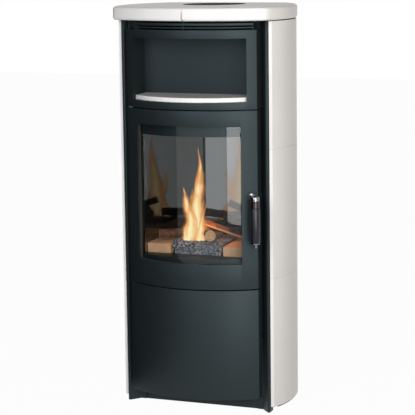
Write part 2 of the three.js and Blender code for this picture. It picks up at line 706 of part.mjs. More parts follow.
function flue() {
  const bottom = FIREBOX_TOP + GAP;
  const coverBottom = STOVE_HEIGHT - COVER_THICKNESS;
  const collarTop = coverBottom - GAP;
  const collarBottom = collarTop - FLUE_COLLAR_THICKNESS;
  const bore = FLUE_RADIUS - FLUE_WALL;
  const pipe = [
    [bore, bottom],
    [FLUE_RADIUS, bottom],
    [FLUE_RADIUS, collarBottom],
    [COLLAR_OUTER_RADIUS, collarBottom],
    [COLLAR_OUTER_RADIUS, collarTop],
    [bore, collarTop],
    [bore, bottom],
  ];
  add("flue_collar", turned(pipe, 0, FLUE_Y, 40), CAST_IRON);
  const plugRadius = bore - PLUG_CLEARANCE;
  const cover = [
    [0, coverBottom],
    [plugRadius - PLUG_WALL, coverBottom],
    [plugRadius - PLUG_WALL, coverBottom - PLUG_DEPTH],
    [plugRadius, coverBottom - PLUG_DEPTH],
    [plugRadius, coverBottom],
    [COVER_RADIUS, coverBottom],
    [COVER_RADIUS, STOVE_HEIGHT],
    [0, STOVE_HEIGHT],
  ];
  add("flue_cover", turned(cover, 0, FLUE_Y, 40), CAST_IRON);
}

// ---------------------------------------------------------------- Bowed front

// A bowed panel: its skin, the returns at its sides and the flanges at its top and bottom.
function bowedPanel(bottom, top, returnBackY) {
  const returnStart = bowY(BOW_HALF_WIDTH - RETURN_THICKNESS, SKIN) - 1;
  const returns = SIDES.map(({ side }) => {
    const outer = BOW_HALF_WIDTH * side;
    const inner = outer - RETURN_THICKNESS * side;
    const width = [Math.min(inner, outer), Math.max(inner, outer)];
    return block(width, [returnStart, returnBackY(Math.abs(outer))], [bottom, top]);
  });
  const flange = bowSheet(SKIN - 1, FLANGE_DEPTH, BOW_HALF_WIDTH - 1);
  return weld(
    slab(bowSheet(0, SKIN, BOW_HALF_WIDTH), bottom, top),
    ...returns,
    slab(flange, bottom, bottom + FLANGE_THICKNESS),
    slab(flange, top - FLANGE_THICKNESS, top),
  );
}

// How far back the posts' slanting wing lies, in front of which a return has to end.
function wingY(x) {
  return ((STRIP_INNER_X - x) * WING_Y) / WING_WIDTH;
}

function grille() {
  const slat = (rise, height) => slab(
    bowSheet(SLAT_INSET, SLAT_THICKNESS, GRILLE_HALF_WIDTH),
    NICHE_FRAME_TOP + rise,
    NICHE_FRAME_TOP + rise + height,
  );
  const cheeks = [-GRILLE_HALF_WIDTH, -CHEEK_THICKNESS / 2, GRILLE_HALF_WIDTH - CHEEK_THICKNESS].map((x) => {
    const nearest = Math.min(Math.abs(x), Math.abs(x + CHEEK_THICKNESS));
    const front = bowY(nearest, SLAT_INSET + SLAT_THICKNESS / 2);
    return block([x, x + CHEEK_THICKNESS], [front, front + GRILLE_DEPTH], [NICHE_FRAME_TOP + GAP, BODY_TOP]);
  });
  const slats = [slat(UPPER_SLAT_RISE, UPPER_SLAT_HEIGHT), slat(LOWER_SLAT_RISE, LOWER_SLAT_HEIGHT)];
  add("convection_grille", weld(...slats, ...cheeks), PAINTED_STEEL);
}

function nicheFrame() {
  const panel = bowedPanel(NICHE_FRAME_BOTTOM, NICHE_FRAME_TOP, (x) => wingY(x) - 2 * GAP);
  const opening = block(
    [-NICHE_HALF_WIDTH, NICHE_HALF_WIDTH],
    [TOP_FRONT_Y - REACH, 0],
    [NICHE_FLOOR, NICHE_CEILING],
  );
  add("niche_frame", carve(panel, opening), PAINTED_STEEL);
}

function nicheLiner() {
  const halfWidth = NICHE_HALF_WIDTH + LINER_THICKNESS;
  const low = NICHE_FLOOR - LINER_THICKNESS;
  const high = NICHE_CEILING + LINER_THICKNESS;
  const outer = slab(bowTo(SKIN + GAP, halfWidth, NICHE_BACK_Y + LINER_THICKNESS), low, high);
  const inner = slab(bowTo(-REACH, NICHE_HALF_WIDTH, NICHE_BACK_Y), NICHE_FLOOR, NICHE_CEILING);
  add("niche_liner", carve(outer, inner), PAINTED_STEEL);
}

function hingeHoles(...levels) {
  return levels.map((z) =>
    rod([HINGE_X, HINGE_Y, z - FLANGE_THICKNESS * 2], [HINGE_X, HINGE_Y, z + FLANGE_THICKNESS * 2],
      PIN_RADIUS + PIN_CLEARANCE));
}

function fireDoor() {
  const panel = bowedPanel(FIRE_DOOR_BOTTOM, FIRE_DOOR_TOP, () => RETURN_BACK_Y);
  const window = block(
    [-WINDOW_HALF_WIDTH, WINDOW_HALF_WIDTH],
    [TOP_FRONT_Y - REACH, 0],
    [WINDOW_BOTTOM, WINDOW_TOP],
  );
  const spindleHole = rod(handlePoint(-SPINDLE_INSIDE), handlePoint(SPINDLE_INSIDE),
    SPINDLE_RADIUS + SPINDLE_CLEARANCE);
  const holes = hingeHoles(FIRE_DOOR_BOTTOM, FIRE_DOOR_TOP);
  add("fire_door_frame", carve(panel, window, spindleHole, ...holes), PAINTED_STEEL);
}

function doorGlass() {
  const bottom = WINDOW_BOTTOM - GLASS_END_LAP;
  const top = WINDOW_TOP + GLASS_END_LAP;
  const shape = bowSheet(GLASS_INSET, GLASS_THICKNESS, GLASS_HALF_WIDTH);
  add("door_glass", slab(shape, bottom, top), WINDOW_GLASS);
  const clampShape = bowSheet(GLASS_BACK, CLAMP_THICKNESS, GLASS_HALF_WIDTH);
  add("lower_glass_clamp", slab(clampShape, bottom, bottom + CLAMP_HEIGHT - GAP), BARE_STEEL);
  add("upper_glass_clamp", slab(clampShape, top - CLAMP_HEIGHT + GAP, top), BARE_STEEL);
}

function doorSeal() {
  const depth = RIM_INSET - GLASS_BACK - GAP;
  const outer = slab(bowSheet(GLASS_BACK, depth, SEAL_HALF_WIDTH), WINDOW_BOTTOM - SEAL_END_LAP,
    WINDOW_TOP + SEAL_END_LAP);
  const inner = slab(bowSheet(GLASS_BACK - 1, depth + 2, SEAL_HALF_WIDTH - SEAL_WIDTH),
    WINDOW_BOTTOM - SEAL_END_MARGIN, WINDOW_TOP + SEAL_END_MARGIN);
  add("door_rope_seal", carve(outer, inner), ROPE);
}

function lowerDoor() {
  const panel = bowedPanel(LOWER_DOOR_BOTTOM, LOWER_DOOR_TOP, () => RETURN_BACK_Y);
  add("lower_door", carve(panel, ...hingeHoles(LOWER_DOOR_BOTTOM, LOWER_DOOR_TOP)), PAINTED_STEEL);
}

// A hinge plate reaches forward from the left post's return and carries a pin up, down or both ways.
function hingePlate(name, middleZ, pinDown, pinUp) {
  const half = HINGE_PLATE_THICKNESS / 2;
  const plate = block(
    [HINGE_X - HINGE_PLATE_HALF_WIDTH, HINGE_X + HINGE_PLATE_HALF_WIDTH],
    [HINGE_Y - HINGE_PLATE_NOSE, WING_Y - GAP],
    [middleZ - half, middleZ + half],
  );
  const pin = rod([HINGE_X, HINGE_Y, middleZ - half - pinDown], [HINGE_X, HINGE_Y, middleZ + half + pinUp],
    PIN_RADIUS);
  add(name, weld(plate, pin), BARE_STEEL);
}

function hinges() {
  hingePlate("upper_hinge_plate", FIRE_DOOR_TOP + FRONT_GAP / 2, PIN_REACH, 0);
  hingePlate("middle_hinge_plate", LOWER_DOOR_TOP + FRONT_GAP / 2, PIN_REACH, PIN_REACH);
  hingePlate("lower_hinge_plate", LOWER_DOOR_BOTTOM - FRONT_GAP / 2, 0, PIN_REACH);
}

function lowerDoorCatch() {
  const x = -HINGE_X;
  const front = bowY(x - CATCH_HALF_WIDTH, SKIN) + 2 * CATCH_HALF_WIDTH;
  const arm = block(
    [x - CATCH_HALF_WIDTH, x + CATCH_HALF_WIDTH],
    [front, WING_Y - GAP],
    [CATCH_Z - CATCH_HEIGHT / 2, CATCH_Z + CATCH_HEIGHT / 2],
  );
  add("lower_door_magnet_catch", arm, BARE_STEEL);
}

// ---------------------------------------------------------------- Handle

// A point on the spindle's axis, square to the bowed skin: out is the distance from the skin.
function handlePoint(out, rise = 0) {
  const radius = BOW_RADIUS + out;
  const x = radius * Math.sin(HANDLE_ANGLE);
  const y = BOW_CENTRE_Y - radius * Math.cos(HANDLE_ANGLE);
  return [x, y, HANDLE_Z + rise];
}

function handle() {
  const [gripX, gripY] = handlePoint(GRIP_STANDOFF);
  const headTop = HANDLE_Z + HEAD_HEIGHT / 2;
  const headBottom = HANDLE_Z - HEAD_HEIGHT / 2;
  const head = turned(
    [
      [0, headBottom],
      [COLLAR_RADIUS, headBottom],
      [COLLAR_RADIUS, headTop - 4],
      [COLLAR_RADIUS - 3, headTop - 1],
      [0, headTop],
    ],
    gripX,
    gripY,
  );
  const spindle = rod(handlePoint(-SPINDLE_INSIDE), handlePoint(GRIP_STANDOFF), SPINDLE_RADIUS);
  const escutcheon = rod(handlePoint(GAP), handlePoint(GAP + ESCUTCHEON_THICKNESS), ESCUTCHEON_RADIUS);
  add("handle_lever", weld(head, spindle, escutcheon), CHROME);

  const collarTop = headBottom - GAP;
  const collarBottom = collarTop - COLLAR_LENGTH;
  const collar = turned(
    [[0, collarBottom], [COLLAR_RADIUS, collarBottom], [COLLAR_RADIUS, collarTop], [0, collarTop]],
    gripX,
    gripY,
  );
  add("handle_collar", collar, BRUSHED_STEEL);

  const gripTop = collarBottom - GAP;
  const gripBottom = gripTop - GRIP_LENGTH;
  const grip = turned(
    [
      [0, gripBottom],
      [GRIP_RADIUS - 1, gripBottom],
      [GRIP_RADIUS, gripBottom + 3],
      [GRIP_RADIUS, gripTop - 3],
      [GRIP_RADIUS - 1, gripTop],
      [0, gripTop],
    ],
    gripX,
    gripY,
  );
  add("handle_grip", grip, GRIP_BLACK);

  const capTop = gripBottom - GAP;
  const capBottom = capTop - CAP_THICKNESS;
  const cap = turned(
    [
      [0, capBottom - FINIAL_LENGTH],
      [FINIAL_RADIUS - 1, capBottom - FINIAL_LENGTH],
      [FINIAL_RADIUS, capBottom - FINIAL_LENGTH + 2],
      [FINIAL_RADIUS, capBottom],
      [GRIP_RADIUS - 2, capBottom],
      [GRIP_RADIUS - 1, capTop],
      [0, capTop],
    ],
    gripX,
    gripY,
  );
  add("handle_end_cap", cap, CHROME);
}

// The tongue hangs from the spindle's inner end, behind the skin, and the keeper stands behind it.
function latch() {
  const tongue = new THREE.BoxGeometry(TONGUE_WIDTH, TONGUE_THICKNESS, TONGUE_LENGTH);
  tongue.rotateZ(HANDLE_ANGLE);
  const inside = SPINDLE_INSIDE + GAP + TONGUE_THICKNESS / 2;
  const [x, y, z] = handlePoint(-inside, SPINDLE_RADIUS - TONGUE_LENGTH / 2);
  add("latch_tongue", tongue.translate(x, y, z), BARE_STEEL);
  const keeper = block(
    [-HINGE_X - KEEPER_WIDTH / 2, -HINGE_X + KEEPER_WIDTH / 2],
    [y + 2 * TONGUE_WIDTH, WING_Y - GAP],
    [z - KEEPER_HEIGHT / 2, z + KEEPER_HEIGHT / 2],
  );
  add("latch_keeper", keeper, BARE_STEEL);
}

// ---------------------------------------------------------------- Firebox

function firebox() {
  const shell = weld(
    slab(bowTo(RIM_INSET, FIREBOX_HALF_WIDTH, FIREBOX_BACK_Y), FIREBOX_BOTTOM, FIREBOX_TOP),
    slab(bowSheet(RIM_INSET, FIREBOX_WALL, RIM_HALF_WIDTH), RIM_BOTTOM, RIM_TOP),
  );
  const cavity = bowTo(CAVITY_INSET, CAVITY_HALF_WIDTH, CAVITY_BACK_Y);
  const seatX = GRATE_HALF_WIDTH - GRATE_SEAT;
  const cuts = [
    slab(cavity, FIREBOX_FLOOR + FIREBOX_WALL, FIREBOX_TOP - FIREBOX_WALL),
    slab(cavity, FIREBOX_BOTTOM + FIREBOX_WALL, FIREBOX_FLOOR),
    block([-MOUTH_HALF_WIDTH, MOUTH_HALF_WIDTH], [TOP_FRONT_Y, 0], [MOUTH_BOTTOM, MOUTH_TOP]),
    block([-ASH_MOUTH_HALF_WIDTH, ASH_MOUTH_HALF_WIDTH], [TOP_FRONT_Y, 0],
      [FIREBOX_BOTTOM + FIREBOX_WALL, ASH_MOUTH_TOP]),
    block([-seatX, seatX], [BRICK_FRONT_Y + GRATE_SEAT, GRATE_BACK_Y - GRATE_SEAT],
      [FIREBOX_FLOOR - FIREBOX_WALL, FIREBOX_FLOOR + 2 * FIREBOX_WALL]),
    rod([0, FLUE_Y, FIREBOX_TOP - 2 * FIREBOX_WALL], [0, FLUE_Y, FIREBOX_TOP + FIREBOX_WALL],
      FLUE_RADIUS - FLUE_WALL, 40),
  ];
  add("firebox_body", carve(shell, ...cuts), PAINTED_STEEL);
}

function linings() {
  const back = CHAMBER_BACK_Y + LINING_THICKNESS;
  for (const { side, word } of SIDES) {
    const inner = CHAMBER_HALF_WIDTH * side;
    const outer = inner + LINING_THICKNESS * side;
    const width = [Math.min(inner, outer), Math.max(inner, outer)];
    add(`${word}_lining`, block(width, [LINING_FRONT_Y, back], [HEARTH, LINING_TOP]), DARK_GLASS);
  }
  const halfWidth = CHAMBER_HALF_WIDTH - GAP;
  add("back_lining", block([-halfWidth, halfWidth], [CHAMBER_BACK_Y, back], [HEARTH, LINING_TOP]), DARK_GLASS);
  const baffleWidth = CAVITY_HALF_WIDTH - GAP;
  const baffleBottom = LINING_TOP + GAP;
  const baffle = block([-baffleWidth, baffleWidth], [BAFFLE_FRONT_Y, back],
    [baffleBottom, baffleBottom + BAFFLE_THICKNESS]);
  add("baffle_plate", baffle, FIRE_BRICK);
}

function hearth() {
  const lip = bowTo(CAVITY_INSET + GAP, BRICK_HALF_WIDTH, BRICK_FRONT_Y - GAP);
  add("hearth_lip", slab(lip, HEARTH, MOUTH_BOTTOM), PAINTED_STEEL);
  const grateX = GRATE_HALF_WIDTH + GAP;
  const backY = CHAMBER_BACK_Y - GAP;
  for (const { side, word } of SIDES) {
    const xs = [grateX * side, BRICK_HALF_WIDTH * side];
    const width = [Math.min(...xs), Math.max(...xs)];
    add(`${word}_floor_brick`, block(width, [BRICK_FRONT_Y, backY], [HEARTH, BRICK_TOP]), FIRE_BRICK);
  }
  const rear = block([-GRATE_HALF_WIDTH, GRATE_HALF_WIDTH], [GRATE_BACK_Y + GAP, backY], [HEARTH, BRICK_TOP]);
  add("rear_floor_brick", rear, FIRE_BRICK);
}

function grate() {
  const plate = block([-GRATE_HALF_WIDTH, GRATE_HALF_WIDTH], [BRICK_FRONT_Y, GRATE_BACK_Y],
    [HEARTH, HEARTH + GRATE_THICKNESS]);
  const span = 2 * (GRATE_HALF_WIDTH - GRATE_SEAT);
  const pitch = span / GRATE_SLOTS;
  const slots = Array.from({ length: GRATE_SLOTS }, (_, i) => {
    const x = -span / 2 + pitch * (i + 0.5);
    return block([x - GRATE_SLOT_WIDTH / 2, x + GRATE_SLOT_WIDTH / 2],
      [BRICK_FRONT_Y + GRATE_SEAT, GRATE_BACK_Y - GRATE_SEAT], [HEARTH - REACH, HEARTH + REACH]);
  });
  add("fire_grate", carve(plate, ...slots), CAST_IRON);
}

function emberBed() {
  const half = GRATE_HALF_WIDTH - GAP;
  const [front, back] = [BRICK_FRONT_Y + GAP, GRATE_BACK_Y - GAP];
  const shape = shapeOf([[-half, front], [half, front], [half, back], [-half, back]]);
  const bottom = HEARTH + GRATE_THICKNESS + GAP;
  add("ember_bed", roundedSlab(shape, bottom, EMBER_TOP, EMBER_EDGE, 2), EMBER);
}

const inChamber = (share) => share * CHAMBER_HALF_WIDTH;

// A log lies level on the ember bed or a brick, with a flat of its bark down.
function levelLog(radius, [start, y, share, turn], seat) {
  const x = inChamber(start);
  const flat = radius * Math.cos(Math.PI / LOG_SIDES);
  const log = rod([0, 0, 0], [0, inChamber(share), 0], radius, LOG_SIDES);
  log.rotateY(Math.PI / LOG_SIDES);
  log.rotateZ(THREE.MathUtils.degToRad(turn));
  return log.translate(x, y, seat + GAP + flat);
}

const FRONT_LOG = [FRONT_LOG_START, FRONT_LOG_Y, FRONT_LOG_SHARE, FRONT_LOG_TURN];
const LEFT_LOG = [LEFT_LOG_START, LEFT_LOG_Y, LEFT_LOG_SHARE, LEFT_LOG_TURN];
const BACK_LOG = [BACK_LOG_START, BACK_LOG_Y, BACK_LOG_SHARE, BACK_LOG_TURN];

function logs() {
  add("front_log", levelLog(FRONT_LOG_RADIUS, FRONT_LOG, EMBER_TOP), BARK);
  add("left_log", levelLog(LEFT_LOG_RADIUS, LEFT_LOG, EMBER_TOP), BARK);
  add("back_log", levelLog(BACK_LOG_RADIUS, BACK_LOG, BRICK_TOP), BARK);
  const [x, y] = [inChamber(LEANING_LOG_START), LEANING_LOG_Y];
  const z = BRICK_TOP + LEANING_LOG_RADIUS - LEANING_LOG_SINK;
  const low = [x, y, z];
  const high = [x - inChamber(LEANING_LOG_SPAN), y - LEANING_LOG_SHIFT, z + LEANING_LOG_RISE];
  const seats = [
    levelLog(FRONT_LOG_RADIUS + GAP, FRONT_LOG, EMBER_TOP - GAP),
    block([GRATE_HALF_WIDTH, BRICK_HALF_WIDTH], [BRICK_FRONT_Y, CHAMBER_BACK_Y], [HEARTH, BRICK_TOP + GAP]),
  ];
  add("leaning_log", carve(rod(low, high, LEANING_LOG_RADIUS, LOG_SIDES), ...seats), BARK);
}

// ---------------------------------------------------------------- Ash pan, compartment, air control

function ashPan() {
  const bottom = FIREBOX_BOTTOM + FIREBOX_WALL + GAP;
  const outer = block([-PAN_HALF_WIDTH, PAN_HALF_WIDTH], [PAN_FRONT_Y, PAN_FRONT_Y + PAN_DEPTH],
    [bottom, bottom + PAN_HEIGHT]);
  const inner = block(
    [-PAN_HALF_WIDTH + PAN_WALL, PAN_HALF_WIDTH - PAN_WALL],
    [PAN_FRONT_Y + PAN_WALL, PAN_FRONT_Y + PAN_DEPTH - PAN_WALL],
    [bottom + PAN_WALL, bottom + PAN_HEIGHT + REACH],
  );
  const z = bottom + PAN_HEIGHT / 2;
  const knob = rod([0, PAN_FRONT_Y - PAN_GRIP_LENGTH, z], [0, PAN_FRONT_Y + PAN_WALL / 2, z], PAN_GRIP_RADIUS);
  add("ash_pan", weld(carve(outer, inner), knob), BARE_STEEL);
}

function compartment() {
  const halfWidth = SIDE_PANEL_X - GAP;
  const outer = block([-halfWidth, halfWidth], [COMPARTMENT_FRONT_Y, COMPARTMENT_BACK_Y + LINER_THICKNESS],
    [COMPARTMENT_FLOOR, COMPARTMENT_TOP]);
  const inner = block(
    [-halfWidth + LINER_THICKNESS, halfWidth - LINER_THICKNESS],
    [COMPARTMENT_FRONT_Y - REACH, COMPARTMENT_BACK_Y],
    [COMPARTMENT_FLOOR + LINER_THICKNESS, COMPARTMENT_TOP - LINER_THICKNESS],
  );
  add("lower_compartment_liner", carve(outer, inner), PAINTED_STEEL);
}

function airControl() {
  const top = FIREBOX_BOTTOM - GAP;
  const slide = block([-SLIDE_HALF_LENGTH, SLIDE_HALF_LENGTH], [SLIDE_FRONT_Y, SLIDE_FRONT_Y + SLIDE_DEPTH],
    [top - SLIDE_THICKNESS, top]);
  const knob = turned(
    [
      [0, top - KNOB_DROP],
      [KNOB_RADIUS - 2, top - KNOB_DROP],
      [KNOB_RADIUS, top - KNOB_DROP + 2],
      [KNOB_RADIUS, top - KNOB_DROP / 2],
      [KNOB_NECK_RADIUS, top - KNOB_DROP / 2 + 3],
      [KNOB_NECK_RADIUS, top - SLIDE_THICKNESS / 2],
      [0, top - SLIDE_THICKNESS / 2],
    ],
    0,
    SLIDE_FRONT_Y + KNOB_RADIUS + 2,
    20,
  );
  add("air_control_slide", weld(slide, knob), BARE_STEEL);
}

levellingFeet();
plinthBase();
posts();
sidePanels();
rearPanel();
supportPlate();
sideTiles();
topTiles();
flue();
grille();
nicheFrame();
nicheLiner();
shelfTile();
firebox();
linings();
hearth();
grate();
emberBed();
logs();
ashPan();
fireDoor();
doorGlass();
doorSeal();
handle();
latch();
lowerDoor();
lowerDoorCatch();
hinges();
compartment();
airControl();

export default stove;
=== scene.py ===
"""Tiled wood stove with a bowed front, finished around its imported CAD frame.

Every size is in metres, in the CAD part's own frame: +Z up, the front faces -Y, the floor is z = 0.
Run as a script it builds the whole picture. Installed as an add-on it lists each step in the sidebar.
"""

import json
import math
import random

import bmesh
import bpy
from mathutils import Matrix, Vector, noise

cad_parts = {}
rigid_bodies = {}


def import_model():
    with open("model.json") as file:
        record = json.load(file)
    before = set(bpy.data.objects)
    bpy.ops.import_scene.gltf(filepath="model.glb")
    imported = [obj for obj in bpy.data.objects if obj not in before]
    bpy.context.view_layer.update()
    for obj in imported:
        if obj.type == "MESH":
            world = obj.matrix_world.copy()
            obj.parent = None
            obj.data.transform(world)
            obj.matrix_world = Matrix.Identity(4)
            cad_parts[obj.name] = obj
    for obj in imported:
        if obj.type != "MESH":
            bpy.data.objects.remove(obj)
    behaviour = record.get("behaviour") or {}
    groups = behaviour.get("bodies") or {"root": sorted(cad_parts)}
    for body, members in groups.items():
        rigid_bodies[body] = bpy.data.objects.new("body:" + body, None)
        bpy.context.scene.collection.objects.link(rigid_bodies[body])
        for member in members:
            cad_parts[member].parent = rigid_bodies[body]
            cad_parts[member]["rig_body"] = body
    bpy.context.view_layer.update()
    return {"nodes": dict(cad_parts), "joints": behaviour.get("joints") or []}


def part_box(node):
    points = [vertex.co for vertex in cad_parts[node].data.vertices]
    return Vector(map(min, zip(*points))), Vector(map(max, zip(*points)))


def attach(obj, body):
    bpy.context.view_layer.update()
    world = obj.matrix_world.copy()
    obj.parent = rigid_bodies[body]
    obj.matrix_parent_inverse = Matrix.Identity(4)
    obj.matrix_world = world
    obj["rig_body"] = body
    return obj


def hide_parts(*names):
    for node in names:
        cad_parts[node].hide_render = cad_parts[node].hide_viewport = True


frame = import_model()

bl_info = {
    "name": "Tiled stove",
    "version": (1, 0, 0),
    "blender": (4, 5, 0),
    "location": "View3D > Sidebar > Stove",
    "description": "Builds a tiled wood stove and its studio",
    "category": "Object",
}
WELD = 1e-6  # points nearer to each other than this are one point


def srgb(code):
    """The linear colour of an sRGB hex code."""
    parts = [int(code[i : i + 2], 16) / 255 for i in (1, 3, 5)]
    return [p / 12.92 if p <= 0.04045 else ((p + 0.055) / 1.055) ** 2.4 for p in parts]


def length(name, metres, description):
    """A length property."""
    return bpy.props.FloatProperty(
        name=name,
        description=description,
        default=metres,
        min=0,
        precision=4,
        subtype="DISTANCE",
        unit="LENGTH",
    )


def place(name, metres, description):
    """A coordinate property, which may be negative."""
    return bpy.props.FloatProperty(
        name=name,
        description=description,
        default=metres,
        precision=4,
        subtype="DISTANCE",
        unit="LENGTH",
    )


def colour(name, code, description):
    """A colour property, given as an sRGB hex code."""
    return bpy.props.FloatVectorProperty(
        name=name,
        description=description,
        default=srgb(code),
        min=0,
        max=1,
        size=3,
        subtype="COLOR",
    )


class StoveFront(bpy.types.PropertyGroup):
    """Sizes of the bowed front."""

    bow_depth: length("Bow depth", 0.070, "How far the front's middle stands before its ends")
    skin: length("Skin", 0.005, "Thickness of the bowed sheet")
    flange_depth: length("Flange depth", 0.024, "How deep the folded flanges reach")
    flange_half: length("Flange half width", 0.190, "Half width of the flanges, clear of the pins")
    flange_sheet: length("Flange sheet", 0.003, "Thickness of flanges and returns")
    edge: length("Edge", 0.0009, "Rounding of the sheet's folded and cut edges")
    window_half: length("Window half width", 0.172, "Half width of the fire door's window")
    window_low: place("Window bottom", 0.486, "Height of the window's lower edge")
    window_high: place("Window top", 0.917, "Height of the window's upper edge")
    niche_half: length("Niche half width", 0.189, "Half width of the niche's opening")
    niche_low: place("Niche bottom", 0.990, "Height of the niche's floor")
    niche_high: place("Niche top", 1.186, "Height of the niche's ceiling")
    glass_inset: length("Glass inset", 0.0053, "From the skin's face back to the glass")
    slat_inset: length("Slat inset", 0.005, "From the skin's face back to the slats")
    slat_sheet: length("Slat sheet", 0.0025, "Thickness of a slat")
    slat_lows: bpy.props.FloatVectorProperty(
        name="Slat bottoms",
        description="Lower edges of the slats",
        default=(1.217, 1.2255),
        size=2,
        subtype="NONE",
    )
    slat_highs: bpy.props.FloatVectorProperty(
        name="Slat tops",
        description="Upper edges of the slats",
        default=(1.221, 1.233),
        size=2,
        subtype="NONE",
    )
    cheek: length("Cheek", 0.003, "Thickness of the grille's three cheeks")


class StoveCeramic(bpy.types.PropertyGroup):
    """Sizes of the tiles."""

    side_radius: length("Side radius", 0.300, "Radius of the side tiles' faces")
    side_widest: place("Side widest", 0.016, "Where along Y the sides are widest")
    side_sheet: length("Side thickness", 0.009, "Thickness of a side tile")
    side_edge: length("Side edge", 0.0036, "Rounding of a side tile's edges")
    top_radius: length("Top front radius", 0.506, "Radius of the top's front")
    top_corner: length("Top corner radius", 0.032, "Radius of the top's front corners")
    top_side: length("Top side radius", 0.330, "Radius of the top's sides")
    top_widest: place("Top widest", -0.003, "Where along Y the top is widest")
    top_edge: length("Top edge", 0.0085, "Rounding of the top's outer edges")
    joint: length("Joint", 0.0006, "Gap between the two halves of the top")
    flue_hole: length("Flue hole", 0.1035, "Radius of the opening round the flue cover")
    notch_half: length("Notch half width", 0.0025, "Half width of the notch under the joint")
    notch_high: length("Notch height", 0.009, "Height of the notch")
    notch_deep: length("Notch depth", 0.008, "How far back the notch reaches")
    shelf_radius: length("Shelf radius", 0.288, "Radius of the shelf's front edge")
    shelf_edge: length("Shelf edge", 0.003, "Rounding of the shelf's edges")


class StoveFire(bpy.types.PropertyGroup):
    """Sizes and counts of the fire."""

    chips: bpy.props.IntProperty(
        name="Embers", description="How many lumps lie on the bed", default=900, min=1
    )
    chip: length("Ember size", 0.0065, "Half size of an average lump")
    bark_depth: length("Bark depth", 0.0022, "How far the bark's ridges stand out")
    flame_y: place("Flame place", -0.046, "Where along Y the flames stand")
    glow: bpy.props.FloatProperty(
        name="Flame strength", description="Emission of the flames", default=1.1, min=0
    )
    lamp_power: bpy.props.FloatProperty(
        name="Fire light", description="Power of the light that the fire casts", default=0.5, min=0
    )
    lamp_tint: colour("Fire tint", "#FFA14A", "Colour of the light that the fire casts")


class StovePaints(bpy.types.PropertyGroup):
    """Colours of the finishes."""

    glaze: colour("Glaze", "#F1EDE7", "Cream-white stove-tile glaze")
    paint: colour("Paint", "#1B2021", "Anthracite stove paint")
    paint_sheen: colour("Paint sheen", "#CDE6EC", "Bluish sheen of the stove paint")
    chrome: colour("Chrome", "#7E7E82", "Polished black chrome plate")
    brushed: colour("Brushed steel", "#403B39", "Brushed stainless steel")
    bare: colour("Sheet steel", "#8A8D90", "Bare sheet steel")
    zinc: colour("Zinc", "#A2A6A8", "Zinc plate on the feet")
    grip: colour("Grip", "#171A1E", "Black heat-proof grip")
    iron: colour("Cast iron", "#3B332E", "Cast iron of the flue and the grate")
    lining: colour("Lining", "#0B0F12", "Dark mirror-like lining")
    brick: colour("Fire brick", "#D0A078", "Fired clay")
    ash: colour("Ash", "#8C8D92", "Pale ash on charcoal")
    bark: colour("Bark", "#5A3A28", "Bark of the logs")
    wood: colour("Cut wood", "#C79A6E", "Cut ends of the logs")
    rope: colour("Rope", "#4A4640", "Glass-fibre rope")
    char: colour("Char", "#191818", "Charred patches of the bark")
    ember: colour("Ember glow", "#FF6F27", "Glow between the lumps of charcoal")
    pane: colour("Pane", "#F7F9F9", "What the door's glass lets through")
    flame_rim: colour("Flame rim", "#C2703A", "Coolest, outer part of a flame")
    flame_body: colour("Flame body", "#EFA55C", "Main part of a flame")
    flame_heart: colour("Flame heart", "#FFEDB4", "Hottest part of a flame")


class StoveStudio(bpy.types.PropertyGroup):
    """The camera, the floor and the lamps."""

    camera: bpy.props.FloatVectorProperty(
        name="Camera",
        description="Where the camera stands",
        default=(1.7808, -4.7682, 1.47706),
        size=3,
        subtype="XYZ",
        unit="LENGTH",
    )
    azimuth: bpy.props.FloatProperty(
        name="Azimuth",
        description="Direction from the stove to the camera, from -Y towards +X",
        default=0.357707,
        subtype="ANGLE",
    )
    elevation: bpy.props.FloatProperty(
        name="Elevation",
        description="How far the camera looks down",
        default=0.152119,
        subtype="ANGLE",
    )
    roll: bpy.props.FloatProperty(
        name="Roll", description="How far the camera is tilted", default=0.0125924, subtype="ANGLE"
    )
    lens: bpy.props.FloatProperty(
        name="Lens", description="Focal length in millimetres", default=138.795, min=1
    )
    shift: bpy.props.FloatProperty(
        name="Shift", description="Vertical shift of the lens", default=-0.048193
    )
    flag: bpy.props.FloatVectorProperty(
        name="Flag",
        description="Where the black cloth stands: its X, its near and far Y, and its height",
        default=(-1.3, -2.4, 0.8, 1.7),
        size=4,
    )
    flag_black: colour("Flag black", "#0D0D0D", "Colour of the black cloth")
    floor: colour("Floor", "#B4B4B4", "Pale studio floor, as it lights the stove from below")
    floor_white: bpy.props.FloatProperty(
        name="Floor white",
        description="How far the floor goes over into the background; the rest keeps the shadow",
        default=0.975,
        min=0,
        max=1,
    )
    key_power: bpy.props.FloatProperty(
        name="Key", description="Power of the front light", default=44, min=0
    )
    key_tint: colour("Key tint", "#EAF2FF", "Slightly cool white of the front light")
    side_power: bpy.props.FloatProperty(
        name="Side", description="Power of the right-hand light", default=96, min=0
    )
    side_tint: colour("Side tint", "#FFFFFF", "White of the right-hand light")
    fill: bpy.props.FloatProperty(
        name="Fill", description="Strength of the room's own light", default=0.11, min=0
    )
    fill_tint: colour("Fill tint", "#CBB5A8", "Warm grey of the room's own light")


# ---------------------------------------------------------------- Pieces


def finish_mesh(bm, name, material, sharp=35):
    """An object made of the mesh, smooth but for edges sharper than the angle in degrees."""
    bmesh.ops.recalc_face_normals(bm, faces=bm.faces)
    mesh = bpy.data.meshes.new(name)
    bm.to_mesh(mesh)
    bm.free()
    mesh.shade_smooth()
    mesh.set_sharp_from_angle(angle=math.radians(sharp))
    mesh.materials.append(material)
    piece = bpy.data.objects.new(name, mesh)
    bpy.context.scene.collection.objects.link(piece)
    return piece


def stand_for(piece, slot, *nodes):
    """The piece rides on the nodes' body and is shown in their stead. The slot is not used."""
    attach(piece, frame["nodes"][nodes[0]]["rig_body"])
    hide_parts(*nodes)


def keep(node, material):
    """The CAD node is shown as it is, in its material."""
    piece = frame["nodes"][node]
    piece.data.materials.clear()
    piece.data.materials.append(material)


